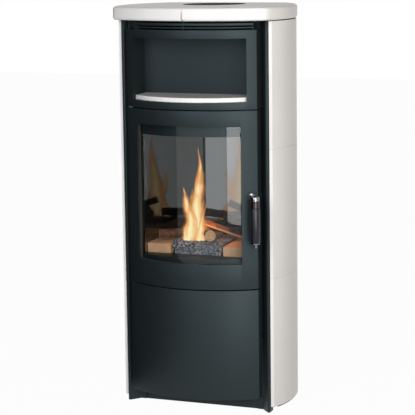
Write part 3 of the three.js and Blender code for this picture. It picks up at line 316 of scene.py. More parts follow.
def sharp_edges(bm, degrees=30):
    """The edges whose two faces meet at more than the angle."""
    limit = math.radians(degrees)
    return [e for e in bm.edges if len(e.link_faces) == 2 and e.calc_face_angle(0) > limit]


def round_edges(bm, edges, radius, segments=3):
    """Rounds the edges."""
    bmesh.ops.bevel(
        bm,
        geom=edges,
        offset=radius,
        offset_type="OFFSET",
        segments=segments,
        profile=0.5,
        material=-1,
        affect="EDGES",
        clamp_overlap=True,
    )


def node_copy(node):
    """A mesh with the CAD node's own shape, each flat face in one piece."""
    bm = bmesh.new()
    bm.from_mesh(frame["nodes"][node].data)
    bmesh.ops.remove_doubles(bm, verts=bm.verts, dist=WELD)
    bmesh.ops.dissolve_limit(bm, angle_limit=math.radians(1), verts=bm.verts, edges=bm.edges)
    return bm


def soften(node, slot, material, radius=0.0008, segments=2):
    """A copy of a plain CAD piece with its edges rounded, shown in its stead."""
    bm = node_copy(node)
    round_edges(bm, sharp_edges(bm), radius, segments)
    piece = finish_mesh(bm, node + "_finished", material)
    stand_for(piece, slot, node)


def sweep(bm, corners, centre, start, end, steps):
    """Spins a closed section about a vertical axis. Corners are (radius, z), angles from +X."""
    angle = end - start
    turn = Matrix.Rotation(start, 4, "Z")
    offset = Vector((centre[0], centre[1], 0))
    ring = [bm.verts.new(turn @ Vector((r, 0, z)) + offset) for r, z in corners]
    face = bm.faces.new(ring)
    geometry = [*ring, *face.edges, face]
    bmesh.ops.spin(
        bm,
        geom=geometry,
        cent=offset,
        axis=(0, 0, 1),
        angle=angle,
        steps=steps,
        use_merge=False,
    )


def slab_section(inner, outer, low, high):
    """The corners of a rectangular section."""
    return [(inner, low), (outer, low), (outer, high), (inner, high)]


def cut(bm, point, normal, clear=True):
    """Cuts the mesh at a plane. With clear, what lies beyond it goes and the cut is closed."""
    everything = [*bm.verts, *bm.edges, *bm.faces]
    made = bmesh.ops.bisect_plane(
        bm, geom=everything, dist=1e-7, plane_co=point, plane_no=normal, clear_outer=clear
    )
    if clear:
        edges = [g for g in made["geom_cut"] if isinstance(g, bmesh.types.BMEdge)]
        bmesh.ops.edgeloop_fill(bm, edges=edges)


def box(bm, low, high):
    """Adds a box between two corners."""
    middle = (Vector(low) + Vector(high)) / 2
    size = Vector(high) - Vector(low)
    matrix = Matrix.Translation(middle) @ Matrix.Diagonal((*size, 1))
    bmesh.ops.create_cube(bm, size=1, matrix=matrix)


def lathe(bm, profile, centre, steps):
    """Turns an open profile of (radius, z) pairs about a vertical axis."""
    offset = Vector((centre[0], centre[1], 0))
    line = [bm.verts.new(Vector((r, 0, z)) + offset) for r, z in profile]
    edges = [bm.edges.new(pair) for pair in zip(line, line[1:])]
    bmesh.ops.spin(
        bm,
        geom=[*line, *edges],
        cent=offset,
        axis=(0, 0, 1),
        angle=math.tau,
        steps=steps,
        use_merge=True,
    )
    bmesh.ops.remove_doubles(bm, verts=bm.verts, dist=WELD)


def keep_flat(piece):
    """Keeps the wide faces flat right up to their rounded edges."""
    weighted = piece.modifiers.new("Flat faces", "WEIGHTED_NORMAL")
    weighted.keep_sharp = True


# ---------------------------------------------------------------- Bowed front


def bow(node):
    """(radius, y of the centre) of the bow that the node's face follows."""
    low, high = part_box(node)
    depth = bpy.context.scene.stove_front.bow_depth
    radius = (high.x**2 + depth**2) / (2 * depth)
    return radius, low.y + radius


def bowed_sheet(bm, node, inset, thickness, half, low, high):
    """Adds a bowed sheet that ends at x = -half and half."""
    radius, centre = bow(node)
    inner = radius - inset - thickness
    spare = 0.02  # radians swept past each end, which the cuts take off
    reach = math.asin(half / inner) + spare
    section = slab_section(inner, radius - inset, low, high)
    part = bmesh.new()
    middle = -math.pi / 2
    sweep(part, section, (0, centre), middle - reach, middle + reach, steps=72)
    cut(part, (half, 0, 0), (1, 0, 0))
    cut(part, (-half, 0, 0), (-1, 0, 0))
    mesh = bpy.data.meshes.new("part")
    part.to_mesh(mesh)
    part.free()
    bm.from_mesh(mesh)
    bpy.data.meshes.remove(mesh)


def open_window(bm, half, low, high):
    """Cuts a straight-sided opening through a bowed sheet."""
    cut(bm, (half, 0, 0), (1, 0, 0), clear=False)
    cut(bm, (-half, 0, 0), (-1, 0, 0), clear=False)
    cut(bm, (0, 0, low), (0, 0, -1), clear=False)
    cut(bm, (0, 0, high), (0, 0, 1), clear=False)
    inside = []
    for face in bm.faces:
        middle = face.calc_center_median()
        if abs(middle.x) < half and low < middle.z < high:
            inside.append(face)
    rims = {e for f in inside for e in f.edges if any(g not in inside for g in e.link_faces)}
    bmesh.ops.delete(bm, geom=inside, context="FACES_ONLY")
    bmesh.ops.delete(bm, geom=[e for e in bm.edges if not e.link_faces], context="EDGES")
    bmesh.ops.delete(bm, geom=[v for v in bm.verts if not v.link_faces], context="VERTS")
    bmesh.ops.bridge_loops(bm, edges=[e for e in rims if e.is_valid])


def bowed_panel(node, window=None):
    """A bowed panel of the front with its returns and flanges, shown instead of the node."""
    front = bpy.context.scene.stove_front
    low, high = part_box(node)
    radius, centre = bow(node)
    half = high.x
    bm = bmesh.new()
    bowed_sheet(bm, node, 0, front.skin, half, low.z, high.z)
    if window:
        open_window(bm, *window)
    round_edges(bm, sharp_edges(bm), front.edge)
    sheet = front.flange_sheet
    overlap = sheet / 3  # how far flanges and returns reach into the skin
    setback = 0.0002  # the returns end just inside the skin's edges
    inset = front.skin - overlap
    deep = front.flange_depth - inset
    flange_half = min(front.flange_half, half - 2 * sheet)
    bowed_sheet(bm, node, inset, deep, flange_half, low.z, low.z + sheet)
    bowed_sheet(bm, node, inset, deep, flange_half, high.z - sheet, high.z)
    start = centre - math.sqrt((radius - front.skin) ** 2 - (half - sheet) ** 2) - overlap
    for side in (-1, 1):
        left, right = sorted((side * half, side * (half - sheet)))
        box(bm, (left, start, low.z + setback), (right, high.y, high.z - setback))
    piece = finish_mesh(bm, node + "_finished", materials["paint"])
    stand_for(piece, "body_paint", node)


class STOVE_OT_front(bpy.types.Operator):
    """Build the niche frame and both doors"""

    bl_idname = "stove.front"
    bl_label = "Bowed front"

    def execute(self, context):
        front = context.scene.stove_front
        window = (front.window_half, front.window_low, front.window_high)
        niche = (front.niche_half, front.niche_low, front.niche_high)
        bowed_panel("niche_frame", niche)
        bowed_panel("fire_door_frame", window)
        bowed_panel("lower_door")
        return {"FINISHED"}


class STOVE_OT_grille(bpy.types.Operator):
    """Build the convection grille"""

    bl_idname = "stove.grille"
    bl_label = "Grille"

    def execute(self, context):
        front = context.scene.stove_front
        low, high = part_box("convection_grille")
        radius, centre = bow("niche_frame")
        inset, sheet = front.slat_inset, front.slat_sheet
        bm = bmesh.new()
        for bottom, top in zip(front.slat_lows, front.slat_highs):
            bowed_sheet(bm, "niche_frame", inset, sheet, high.x, bottom, top)
        round_edges(bm, sharp_edges(bm), sheet / 4, 2)
        face = radius - inset
        core = face - sheet / 2
        last = high.x - front.cheek
        depth = high.y - (centre - math.sqrt(face**2 - last**2))
        for x in (low.x, -front.cheek / 2, last):
            nearest = min(abs(x), abs(x + front.cheek))
            y = centre - math.sqrt(core**2 - nearest**2)
            box(bm, (x, y, low.z), (x + front.cheek, min(y + depth, high.y), high.z))
        piece = finish_mesh(bm, "convection_grille_finished", materials["paint"])
        stand_for(piece, "body_paint", "convection_grille")
        return {"FINISHED"}


class STOVE_OT_glass(bpy.types.Operator):
    """Build the door's glass and finish its clamps and its rope seal"""

    bl_idname = "stove.glass"
    bl_label = "Door glass"

    def execute(self, context):
        front = context.scene.stove_front
        low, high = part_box("door_glass")
        pane = 0.004
        bm = bmesh.new()
        bowed_sheet(bm, "fire_door_frame", front.glass_inset, pane, high.x, low.z, high.z)
        piece = finish_mesh(bm, "door_glass_finished", materials["glass"])
        stand_for(piece, "door_glass", "door_glass")
        for node in ("upper_glass_clamp", "lower_glass_clamp"):
            keep(node, materials["bare"])
        keep("door_rope_seal", materials["rope"])
        return {"FINISHED"}


# ---------------------------------------------------------------- Ceramic


class STOVE_OT_side_tiles(bpy.types.Operator):
    """Build the six curved tiles of the sides"""

    bl_idname = "stove.side_tiles"
    bl_label = "Side tiles"

    def execute(self, context):
        sizes = context.scene.stove_ceramic
        for side, word in ((-1, "left"), (1, "right")):
            for level in ("lower", "middle", "upper"):
                self.tile(sizes, side, f"{word}_{level}_tile")
        return {"FINISHED"}

    def tile(self, sizes, side, node):
        """One tile, cut flat at its front and back ends."""
        low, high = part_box(node)
        outer = sizes.side_radius
        inner = outer - sizes.side_sheet
        centre_x = high.x - outer
        if side < 0:
            centre_x = low.x + outer
        spare = 0.03  # radians swept past each end, which the cuts take off
        start = math.asin((low.y - sizes.side_widest) / inner) - spare
        end = math.asin((high.y - sizes.side_widest) / inner) + spare
        if side < 0:
            start, end = math.pi - end, math.pi - start
        bm = bmesh.new()
        section = slab_section(inner, outer, low.z, high.z)
        sweep(bm, section, (centre_x, sizes.side_widest), start, end, steps=72)
        cut(bm, low, (0, -1, 0))
        cut(bm, high, (0, 1, 0))
        round_edges(bm, sharp_edges(bm), sizes.side_edge, 4)
        piece = finish_mesh(bm, node + "_glazed", materials["glaze"])
        stand_for(piece, "tile", node)


def arc(bm, vertex, centre, angle, steps):
    """Spins a vertex about a vertical axis and returns the last one."""
    made = bmesh.ops.spin(
        bm,
        geom=[vertex],
        cent=(centre[0], centre[1], vertex.co.z),
        axis=(0, 0, 1),
        angle=angle,
        steps=steps,
        use_merge=False,
    )
    return next(g for g in made["geom_last"] if isinstance(g, bmesh.types.BMVert))


def line_to(bm, vertex, x, y):
    """Draws a straight edge from a vertex and returns its far end."""
    far = bm.verts.new((x, y, vertex.co.z))
    bm.edges.new((vertex, far))
    return far


def raise_outline(bm, height):
    """Fills the closed outline and extrudes it upwards."""
    bmesh.ops.remove_doubles(bm, verts=bm.verts, dist=WELD)
    made = bmesh.ops.contextual_create(bm, geom=bm.edges[:])
    lifted = bmesh.ops.extrude_face_region(bm, geom=made["faces"], use_keep_orig=True)
    verts = [g for g in lifted["geom"] if isinstance(g, bmesh.types.BMVert)]
    bmesh.ops.translate(bm, vec=(0, 0, height), verts=verts)
    bmesh.ops.recalc_face_normals(bm, faces=bm.faces)


def meeting(a, ra, b, rb):
    """The point of lower y where two circles meet, with x above 0."""
    apart = (b - a).length
    along = (apart**2 + ra**2 - rb**2) / (2 * apart)
    off = math.sqrt(ra**2 - along**2)
    step = (b - a) / apart
    across = Vector((-step.y, step.x))
    points = [a + step * along + across * off * s for s in (1, -1)]
    return next(p for p in points if p.x > 0)


class STOVE_OT_top_tiles(bpy.types.Operator):
    """Build the two halves of the ceramic top"""

    bl_idname = "stove.top_tiles"
    bl_label = "Top tiles"

    def execute(self, context):
        for side, word in ((1, "right"), (-1, "left")):
            self.half(context.scene.stove_ceramic, side, word + "_top_tile")
        return {"FINISHED"}

    def half(self, sizes, side, node):
        """One half: front arc, corner, side arc, straight back, and half the flue opening."""
        low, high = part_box("right_top_tile")
        cover_low, cover_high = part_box("flue_cover")
        flue_y = (cover_low.y + cover_high.y) / 2
        gap = sizes.joint / 2
        front = Vector((0, low.y + sizes.top_radius))
        flank = Vector((high.x - sizes.top_side, sizes.top_widest))
        corner = meeting(
            front, sizes.top_radius - sizes.top_corner, flank, sizes.top_side - sizes.top_corner
        )
        first = math.atan2(corner.y - front.y, corner.x - front.x)
        second = math.atan2(corner.y - flank.y, corner.x - flank.x)
        start = -math.acos(gap / sizes.top_radius)
        last = math.asin((high.y - flank.y) / sizes.top_side)
        bm = bmesh.new()
        y = front.y + sizes.top_radius * math.sin(start)
        origin = bm.verts.new((gap, y, low.z))
        point = arc(bm, origin, front, first - start, steps=40)
        point = arc(bm, point, corner, second - first, steps=14)
        point = arc(bm, point, flank, last - second, steps=56)
        point = line_to(bm, point, gap, point.co.y)
        rim = math.sqrt(sizes.flue_hole**2 - gap**2)
        point = line_to(bm, point, gap, flue_y + rim)
        turn = -2 * math.acos(gap / sizes.flue_hole)
        point = arc(bm, point, (0, flue_y), turn, steps=48)
        line_to(bm, point, gap, y)
        raise_outline(bm, high.z - low.z)
        joint_limit = gap + 1e-5
        flue_limit = sizes.flue_hole + 1e-4
        outer = []
        for edge in sharp_edges(bm):
            a, b = (vertex.co for vertex in edge.verts)
            middle = (a + b) / 2
            level = abs(a.z - b.z) < WELD
            at_joint = middle.x < joint_limit
            at_flue = (middle.xy - Vector((0, flue_y))).length < flue_limit
            if level and not at_joint and not at_flue:
                outer.append(edge)
        round_edges(bm, outer, sizes.top_edge, 7)
        if side < 0:
            bmesh.ops.scale(bm, vec=(-1, 1, 1), verts=bm.verts)
        piece = finish_mesh(bm, node + "_glazed", materials["glaze"])
        self.notch(piece, sizes, low)
        stand_for(piece, "tile", node)
        keep_flat(piece)

    def notch(self, piece, sizes, low):
        """Cuts this half's share of the small notch under the front of the joint."""
        margin = 0.01  # how far the tool stands out of the tile, before it and below
        bm = bmesh.new()
        start = (-sizes.notch_half, low.y - margin, low.z - margin)
        end = (sizes.notch_half, low.y + sizes.notch_deep, low.z + sizes.notch_high)
        box(bm, start, end)
        tool = finish_mesh(bm, "notch_tool", materials["glaze"])
        cutter = piece.modifiers.new("Notch", "BOOLEAN")
        cutter.operation = "DIFFERENCE"
        cutter.solver = "EXACT"
        cutter.object = tool
        graph = bpy.context.evaluated_depsgraph_get()
        notched = bpy.data.meshes.new_from_object(piece.evaluated_get(graph))
        piece.modifiers.clear()
        piece.data = notched
        bpy.data.objects.remove(tool)


class STOVE_OT_shelf(bpy.types.Operator):
    """Build the loose ceramic shelf of the niche"""

    bl_idname = "stove.shelf"
    bl_label = "Shelf"

    def execute(self, context):
        sizes = context.scene.stove_ceramic
        low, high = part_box("shelf_tile")
        centre = (0, low.y + sizes.shelf_radius)
        reach = math.asin(high.x / sizes.shelf_radius)
        y = centre[1] - sizes.shelf_radius * math.cos(reach)
        bm = bmesh.new()
        first = bm.verts.new((-high.x, y, low.z))
        point = arc(bm, first, centre, 2 * reach, steps=64)
        point = line_to(bm, point, high.x, high.y)
        point = line_to(bm, point, -high.x, high.y)
        line_to(bm, point, -high.x, y)
        raise_outline(bm, high.z - low.z)
        round_edges(bm, sharp_edges(bm), sizes.shelf_edge, 4)
        piece = finish_mesh(bm, "shelf_tile_glazed", materials["glaze"])
        stand_for(piece, "tile", "shelf_tile")
        keep_flat(piece)
        return {"FINISHED"}


# ---------------------------------------------------------------- Carcass


PAINTED = (
    "plinth_base",
    "left_front_post",
    "right_front_post",
    "left_side_panel",
    "right_side_panel",
    "hearth_lip",
)
PAINTED_PLAIN = (
    "rear_panel",
    "top_support_plate",
    "niche_liner",
    "firebox_body",
    "lower_compartment_liner",
)
BARE = (
    "upper_hinge_plate",
    "middle_hinge_plate",
    "lower_hinge_plate",
    "lower_door_magnet_catch",
    "latch_tongue",
    "latch_keeper",
    "ash_pan",
    "air_control_slide",
)
FEET = ("left_front_foot", "right_front_foot", "left_rear_foot", "right_rear_foot")


class STOVE_OT_carcass(bpy.types.Operator):
    """Finish the posts, panels, hinges and feet"""

    bl_idname = "stove.carcass"
    bl_label = "Carcass"

    def execute(self, context):
        for node in PAINTED:
            soften(node, "body_paint", materials["paint"])
        for node in PAINTED_PLAIN:
            keep(node, materials["paint"])
        for node in BARE:
            keep(node, materials["bare"])
        for node in FEET:
            keep(node, materials["zinc"])
        return {"FINISHED"}


class STOVE_OT_flue(bpy.types.Operator):
    """Build the flue cover and finish the flue collar"""

    bl_idname = "stove.flue"
    bl_label = "Flue"

    def execute(self, context):
        low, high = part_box("flue_cover")
        centre = (0, (low.y + high.y) / 2)
        radius = high.x
        rim = 0.030
        wall = 0.004
        plate = 0.0047
        chamfer = 0.001
        edge = 0.0018
        shoulder = 0.0006
        plug = radius - rim
        lip = high.z - plate
        bm = bmesh.new()
        profile = [
            (0, lip),
            (plug - wall, lip),
            (plug - wall, low.z),
            (plug, low.z),
            (plug, lip),
            (radius - chamfer, lip),
            (radius, lip + chamfer),
            (radius, high.z - edge),
            (radius - shoulder, high.z - shoulder),
            (radius - edge, high.z),
            (0, high.z),
        ]
        lathe(bm, profile, centre, steps=96)
        piece = finish_mesh(bm, "flue_cover_finished", materials["iron"])
        stand_for(piece, "cast_iron", "flue_cover")
        keep("flue_collar", materials["iron"])
        return {"FINISHED"}


# ---------------------------------------------------------------- Handle


class STOVE_OT_handle(bpy.types.Operator):
    """Build the door handle"""

    bl_idname = "stove.handle"
    bl_label = "Handle"

    def execute(self, context):
        self.grip()
        self.collar()
        self.end_cap()
        self.lever()
        return {"FINISHED"}

    def turned(self, node, slot, material, profile):
        """A turned piece on the grip's axis, shown instead of the node."""
        low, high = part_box("handle_grip")
        centre = ((low.x + high.x) / 2, (low.y + high.y) / 2)
        bm = bmesh.new()
        lathe(bm, profile, centre, steps=48)
        piece = finish_mesh(bm, node + "_finished", material)
        stand_for(piece, slot, node)

    def grip(self):
        """The black grip, rounded at both ends."""
        low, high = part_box("handle_grip")
        radius = (high.x - low.x) / 2
        edge = 0.002
        shoulder = 0.0006
        profile = [
            (0, low.z),
            (radius - edge, low.z),
            (radius - shoulder, low.z + shoulder),
            (radius, low.z + edge),
            (radius, high.z - edge),
            (radius - shoulder, high.z - shoulder),
            (radius - edge, high.z),
            (0, high.z),
        ]
        self.turned("handle_grip", "handle_black", materials["grip"], profile)

    def collar(self):
        """The brushed ring between the grip and the head."""
        low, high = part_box("handle_collar")
        radius = (high.x - low.x) / 2
        chamfer = 0.0008
        profile = [
            (0, low.z),
            (radius - chamfer, low.z),
            (radius, low.z + chamfer),
            (radius, high.z - chamfer),
            (radius - chamfer, high.z),
            (0, high.z),
        ]
        self.turned("handle_collar", "handle_steel", materials["brushed"], profile)

    def end_cap(self):
        """The cap under the grip, with its small finial."""
        low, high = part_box("handle_end_cap")
        grip_low, grip_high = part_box("handle_grip")
        inset = 0.001
        radius = (grip_high.x - grip_low.x) / 2 - inset
        plate = 0.004
        neck = high.z - plate
        slope = (0.0014, 0.0012)  # the plate's lower edge, inwards and upwards
        finial = 0.005
        tip = ((0.0016, 0), (0.0004, 0.0006), (0, 0.002))  # its end, inwards and upwards
        profile = [
            (0, low.z),
            *((finial - inwards, low.z + up) for inwards, up in tip),
            (finial, neck),
            (radius - slope[0], neck),
            (radius, neck + slope[1]),
            (radius, high.z),
            (0, high.z),
        ]
        self.turned("handle_end_cap", "handle_chrome", materials["chrome"], profile)

    def lever(self):
        """The head, the spindle that leads from the door into it, and the escutcheon."""
        _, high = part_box("handle_collar")
        grip_low, grip_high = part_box("handle_grip")
        centre = ((grip_low.x + grip_high.x) / 2, (grip_low.y + grip_high.y) / 2)
        gap = 0.0003
        tall = 0.016
        radius = 0.0135
        chamfer = 0.0006
        dome = ((0, 0.0055), (0.0012, 0.0026), (0.0036, 0.0007))  # inwards and downwards
        bottom = high.z + gap
        top = bottom + tall
        bm = bmesh.new()
        profile = [
            (0, bottom),
            (radius - chamfer, bottom),
            (radius, bottom + chamfer),
            *((radius - inwards, top - down) for inwards, down in dome),
            (0, top),
        ]
        lathe(bm, profile, centre, steps=48)
        joint = next(j for j in frame["joints"] if j["name"] == "handle_turn")
        pivot = Vector(joint["pos_m"])
        axis = Vector((*joint["axis"][:2], 0)).normalized()
        behind, before = 0.017, 0.042
        rod(bm, pivot - axis * behind, pivot + axis * before, radius=0.005)
        plate = 0.003
        rod(bm, pivot + axis * gap, pivot + axis * (gap + plate), radius=0.010, edge=0.0008)
        piece = finish_mesh(bm, "handle_lever_finished", materials["chrome"])
        stand_for(piece, "handle_chrome", "handle_lever")


def rod(bm, start, end, radius, edge=0.0):
    """Adds a round bar between two points, its ends chamfered by edge."""
    along = end - start
    turn = along.to_track_quat("Z", "Y").to_matrix().to_4x4()
    matrix = Matrix.Translation((start + end) / 2) @ turn
    made = bmesh.ops.create_cone(
        bm,
        cap_ends=True,
        segments=40,
        radius1=radius,
        radius2=radius,
        depth=along.length,
        matrix=matrix,
    )
    if edge:
        faces = {f for v in made["verts"] for f in v.link_faces if len(f.verts) > 4}
        round_edges(bm, list({e for f in faces for e in f.edges}), edge)


# ---------------------------------------------------------------- Fire


BRICKS = ("left_floor_brick", "right_floor_brick", "rear_floor_brick", "baffle_plate")
LININGS = ("left_lining", "right_lining", "back_lining")


class STOVE_OT_chamber(bpy.types.Operator):
    """Finish the linings, bricks and grate of the fire chamber"""

    bl_idname = "stove.chamber"
    bl_label = "Fire chamber"

    def execute(self, context):
        for node in BRICKS:
            soften(node, "fire_brick", materials["brick"], 0.0025, 3)
        for node in LININGS:
            keep(node, materials["lining"])
        keep("fire_grate", materials["iron"])
        return {"FINISHED"}


class STOVE_OT_embers(bpy.types.Operator):
    """Heap lumps of charcoal and ash on the grate"""

    bl_idname = "stove.embers"
    bl_label = "Ember bed"

    def execute(self, context):
        fire = context.scene.stove_fire
        low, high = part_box("ember_bed")
        rng = random.Random(7)
        bm = bmesh.new()
        inset = fire.chip * 1.7  # the plain core stays hidden under the lumps
        inner_low = (low.x + inset, low.y + inset, low.z)
        inner_high = (high.x - inset, high.y - inset, high.z - inset)
        box(bm, inner_low, inner_high)
        for _ in range(fire.chips):
            self.lump(bm, rng, fire.chip, low, high)
        piece = finish_mesh(bm, "ember_bed_heaped", materials["ash"], 50)
        stand_for(piece, "embers", "ember_bed")
        return {"FINISHED"}

    def lump(self, bm, rng, chip, low, high):
        """One broken lump, turned and sized at random and set on the bed's surface."""
        size = chip * rng.uniform(0.45, 1.25)
        x = rng.uniform(low.x + size, high.x - size)
        y = low.y + (high.y - low.y) * rng.random() ** 1.3
        y = min(max(y, low.y + size), high.y - size)
        slope = 0.02  # how far in from its front the bed slopes up
        edge = min(y - low.y, slope) / slope
        z = high.z - size - (1 - edge) * rng.uniform(0, high.z - low.z - 2 * size)
        turn = Matrix.Rotation(rng.uniform(0, math.tau), 4, Vector((rng.random(), rng.random(), 1)))
        shape = Matrix.Diagonal((size, size * rng.uniform(0.6, 1), size * rng.uniform(0.5, 0.9), 1))
        made = bmesh.ops.create_icosphere(bm, subdivisions=1, radius=1)
        for vertex in made["verts"]:
            vertex.co *= rng.uniform(0.75, 1)
        matrix = Matrix.Translation((x, y, z)) @ turn @ shape
        bmesh.ops.transform(bm, matrix=matrix, verts=made["verts"])


class STOVE_OT_logs(bpy.types.Operator):
    """Build the burning logs"""

    bl_idname = "stove.logs"
    bl_label = "Logs"

    def execute(self, context):
        depth = context.scene.stove_fire.bark_depth
        for seed, node in enumerate(("front_log", "left_log", "back_log", "leaning_log")):
            self.log(node, depth, seed)
        return {"FINISHED"}

    def log(self, node, depth, seed):
        """The node's own shape, refined, with ridged bark and plain cut ends."""
        bm = node_copy(node)
        bmesh.ops.recalc_face_normals(bm, faces=bm.faces)
        for face in bm.faces:
            face.material_index = int(len(face.verts) > 6)  # only the cut ends have so many
        worn = 0.0018
        round_edges(bm, sharp_edges(bm, 50), worn, 2)
        bmesh.ops.triangulate(bm, faces=bm.faces)
        long_limit, short_limit = 0.03, 0.008
        edges = [e for e in bm.edges if e.calc_length() > long_limit]
        bmesh.ops.subdivide_edges(bm, edges=edges, cuts=7)
        bmesh.ops.triangulate(bm, faces=bm.faces)
        edges = [e for e in bm.edges if e.calc_length() > short_limit]
        bmesh.ops.subdivide_edges(bm, edges=edges, cuts=1, use_grid_fill=True)
        bm.normal_update()
        ridges = 90  # noise units in a metre
        own_place = Vector((seed * 10, 0, 0))
        for vertex in bm.verts:
            if all(f.material_index == 0 for f in vertex.link_faces):
                rough = noise.turbulence(vertex.co * ridges + own_place, 4, False)
                vertex.co -= vertex.normal * depth * (1 - rough)
        piece = finish_mesh(bm, node + "_barked", materials["bark"], 60)
        piece.data.materials.append(materials["wood"])
        stand_for(piece, "bark", node)


# Each tongue of flame from its foot to its tip, as (x, z, half width)
LEFT_TONGUE = (
    (-0.043, 0.525, 0.021),
    (-0.036, 0.560, 0.025),
    (-0.030, 0.600, 0.022),
    (-0.042, 0.645, 0.021),
    (-0.051, 0.675, 0.014),
    (-0.061, 0.703, 0.001),
)
TALL_TONGUE = (
    (-0.025, 0.525, 0.023),
    (-0.015, 0.580, 0.028),
    (-0.014, 0.650, 0.028),
    (-0.007, 0.720, 0.019),
    (-0.003, 0.770, 0.013),
    (-0.014, 0.832, 0.001),
)
FOOT_TONGUE = (
    (-0.044, 0.525, 0.022),
    (-0.050, 0.545, 0.024),
    (-0.055, 0.570, 0.018),
    (-0.060, 0.596, 0.001),
)
RIGHT_TONGUE = (
    (-0.009, 0.525, 0.018),
    (-0.002, 0.550, 0.020),
    (0.004, 0.595, 0.015),
    (0.013, 0.650, 0.001),
)
FLAMES = (LEFT_TONGUE, TALL_TONGUE, FOOT_TONGUE, RIGHT_TONGUE)


class STOVE_OT_flames(bpy.types.Operator):
    """Build the flames as thin glowing sheets and light the chamber with them"""

    bl_idname = "stove.flames"
    bl_label = "Flames"

    def execute(self, context):
        fire = context.scene.stove_fire
        bm = bmesh.new()
        layer = bm.loops.layers.uv.new("UVMap")
        apart = 0.012  # from one sheet to the next
        for number, stations in enumerate(FLAMES):
            self.tongue(bm, layer, stations, fire.flame_y + apart * (number % 3 - 1))
        piece = finish_mesh(bm, "flames", materials["flame"], 80)
        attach(piece, "stove")
        self.light(fire)
        return {"FINISHED"}

    def light(self, fire):
        """The flames' light. The linings show the flames themselves, and not this lamp."""
        lamp = bpy.data.lights.new("Fire", "POINT")
        lamp.energy = fire.lamp_power
        lamp.color = fire.lamp_tint
        lamp.shadow_soft_size = 0.03
        source = bpy.data.objects.new("Fire", lamp)
        source.location = (0.02, fire.flame_y - 0.02, 0.62)
        source.visible_glossy = False
        bpy.context.scene.collection.objects.link(source)

    def tongue(self, bm, layer, stations, y):
        """One curved sheet that follows (x, z, half width) stations, with UVs from 0 to 1."""
        count = len(stations) - 1
        clear_margin = 1.55  # the sheet is wider than the flame that shows in it
        swell = 0.6  # how far the sheet's middle stands forward, of its half width
        last = count - 1e-6  # just short of the tip, so that it belongs to the last stretch
        made = bmesh.ops.create_grid(
            bm, x_segments=8, y_segments=count * 6, size=0.5, calc_uvs=False
        )
        faces = {f for v in made["verts"] for f in v.link_faces}
        for face in faces:
            for loop in face.loops:
                loop[layer].uv = (loop.vert.co.x + 0.5, loop.vert.co.y + 0.5)
        for vertex in made["verts"]:
            side = vertex.co.x * 2
            t = min((vertex.co.y + 0.5) * count, last)
            i = int(t)
            part = t - i
            smooth = part * part * (3 - 2 * part)
            a, b = stations[i], stations[i + 1]
            x, z, half = (p + (q - p) * s for p, q, s in zip(a, b, (smooth, part, part)))
            half *= clear_margin
            bulge = swell * half * (1 - side * side)
            vertex.co = (x + side * half, y - bulge, z)


# ---------------------------------------------------------------- Materials


BLACK = (0, 0, 0, 1)
WHITE = (1, 1, 1, 1)
materials = {}


def per(millimetres):
    """A texture scale that gives a pattern of that size."""
    return 1000 / millimetres


def add(tree, kind, settings=None, **sockets):
    """Adds a shader node. Sockets take a value or another node's output."""
    made = tree.nodes.new("ShaderNode" + kind)
    for key, value in (settings or {}).items():
        setattr(made, key, value)
    for key, value in sockets.items():
        socket = made.inputs[key.replace("_", " ")]
        if isinstance(value, bpy.types.NodeSocket):
            tree.links.new(value, socket)
        else:
            socket.default_value = value
    return made


def material(name):
    """A new material, its emptied tree and its object coordinates."""
    made = bpy.data.materials.new(name)
    made.use_nodes = True
    tree = made.node_tree
    tree.nodes.clear()
    return made, tree, add(tree, "TexCoord").outputs["Object"]


def math_node(tree, operation, *values):
    """A math node's result."""
    made = tree.nodes.new("ShaderNodeMath")
    made.operation = operation
    for socket, value in zip(made.inputs, values):
        if isinstance(value, bpy.types.NodeSocket):
            tree.links.new(value, socket)
        else:
            socket.default_value = value
    return made.outputs[0]


def blend(tree, share, first, second):
    """A shader that goes over from the first to the second by the share."""
    mix = add(tree, "MixShader", Fac=share)
    tree.links.new(first.outputs[0], mix.inputs[1])
    tree.links.new(second.outputs[0], mix.inputs[2])
    return mix


def output(tree, shader):
    """Sends the shader to the surface."""
    add(tree, "OutputMaterial", Surface=shader.outputs[0])


def coat(tree, **sockets):
    """Covers the surface with a principled shader."""
    output(tree, add(tree, "BsdfPrincipled", **sockets))


def rgba(tint):
    """The colour with full alpha."""
    return (*tint, 1)


def shade(tint, factor):
    """The colour made lighter or darker."""
    return (*(min(c * factor, 1) for c in tint), 1)


def ramp(tree, value, low, high, start=0.0, end=1.0):
    """A ramp between two colours."""
    made = add(tree, "ValToRGB", Fac=value)
    first, last = made.color_ramp.elements
    first.position, first.color = start, low
    last.position, last.color = end, high
    return made.outputs[0]


def grain(tree, coordinates, millimetres, detail=2.0):
    """Noise of that size."""
    made = add(tree, "TexNoise", Vector=coordinates, Scale=per(millimetres), Detail=detail)
    return made.outputs[0]


def between(tree, value, low, high):
    """Maps 0..1 to low..high."""
    return add(tree, "MapRange", Value=value, To_Min=low, To_Max=high).outputs[0]


def bump(tree, height, depth):
    """A bump of that real depth in metres."""
    return add(tree, "Bump", Height=height, Distance=depth, Strength=1.0).outputs[0]


def glaze_material(paints):
    """Cream-white gloss glaze, poured on pressed stoneware tiles: hardly uneven, clear on top."""
    made, tree, at = material("Cream gloss glaze on stoneware")
    cloud = grain(tree, at, 90)
    tint = ramp(tree, cloud, shade(paints.glaze, 0.975), rgba(paints.glaze), 0.3, 0.7)
    ripple = bump(tree, grain(tree, at, 26, 1.0), 0.00010)
    coat(
        tree,
        Base_Color=tint,
        Roughness=between(tree, grain(tree, at, 12), 0.26, 0.34),
        Normal=ripple,
        Specular_IOR_Level=0.22,
    )
    return made


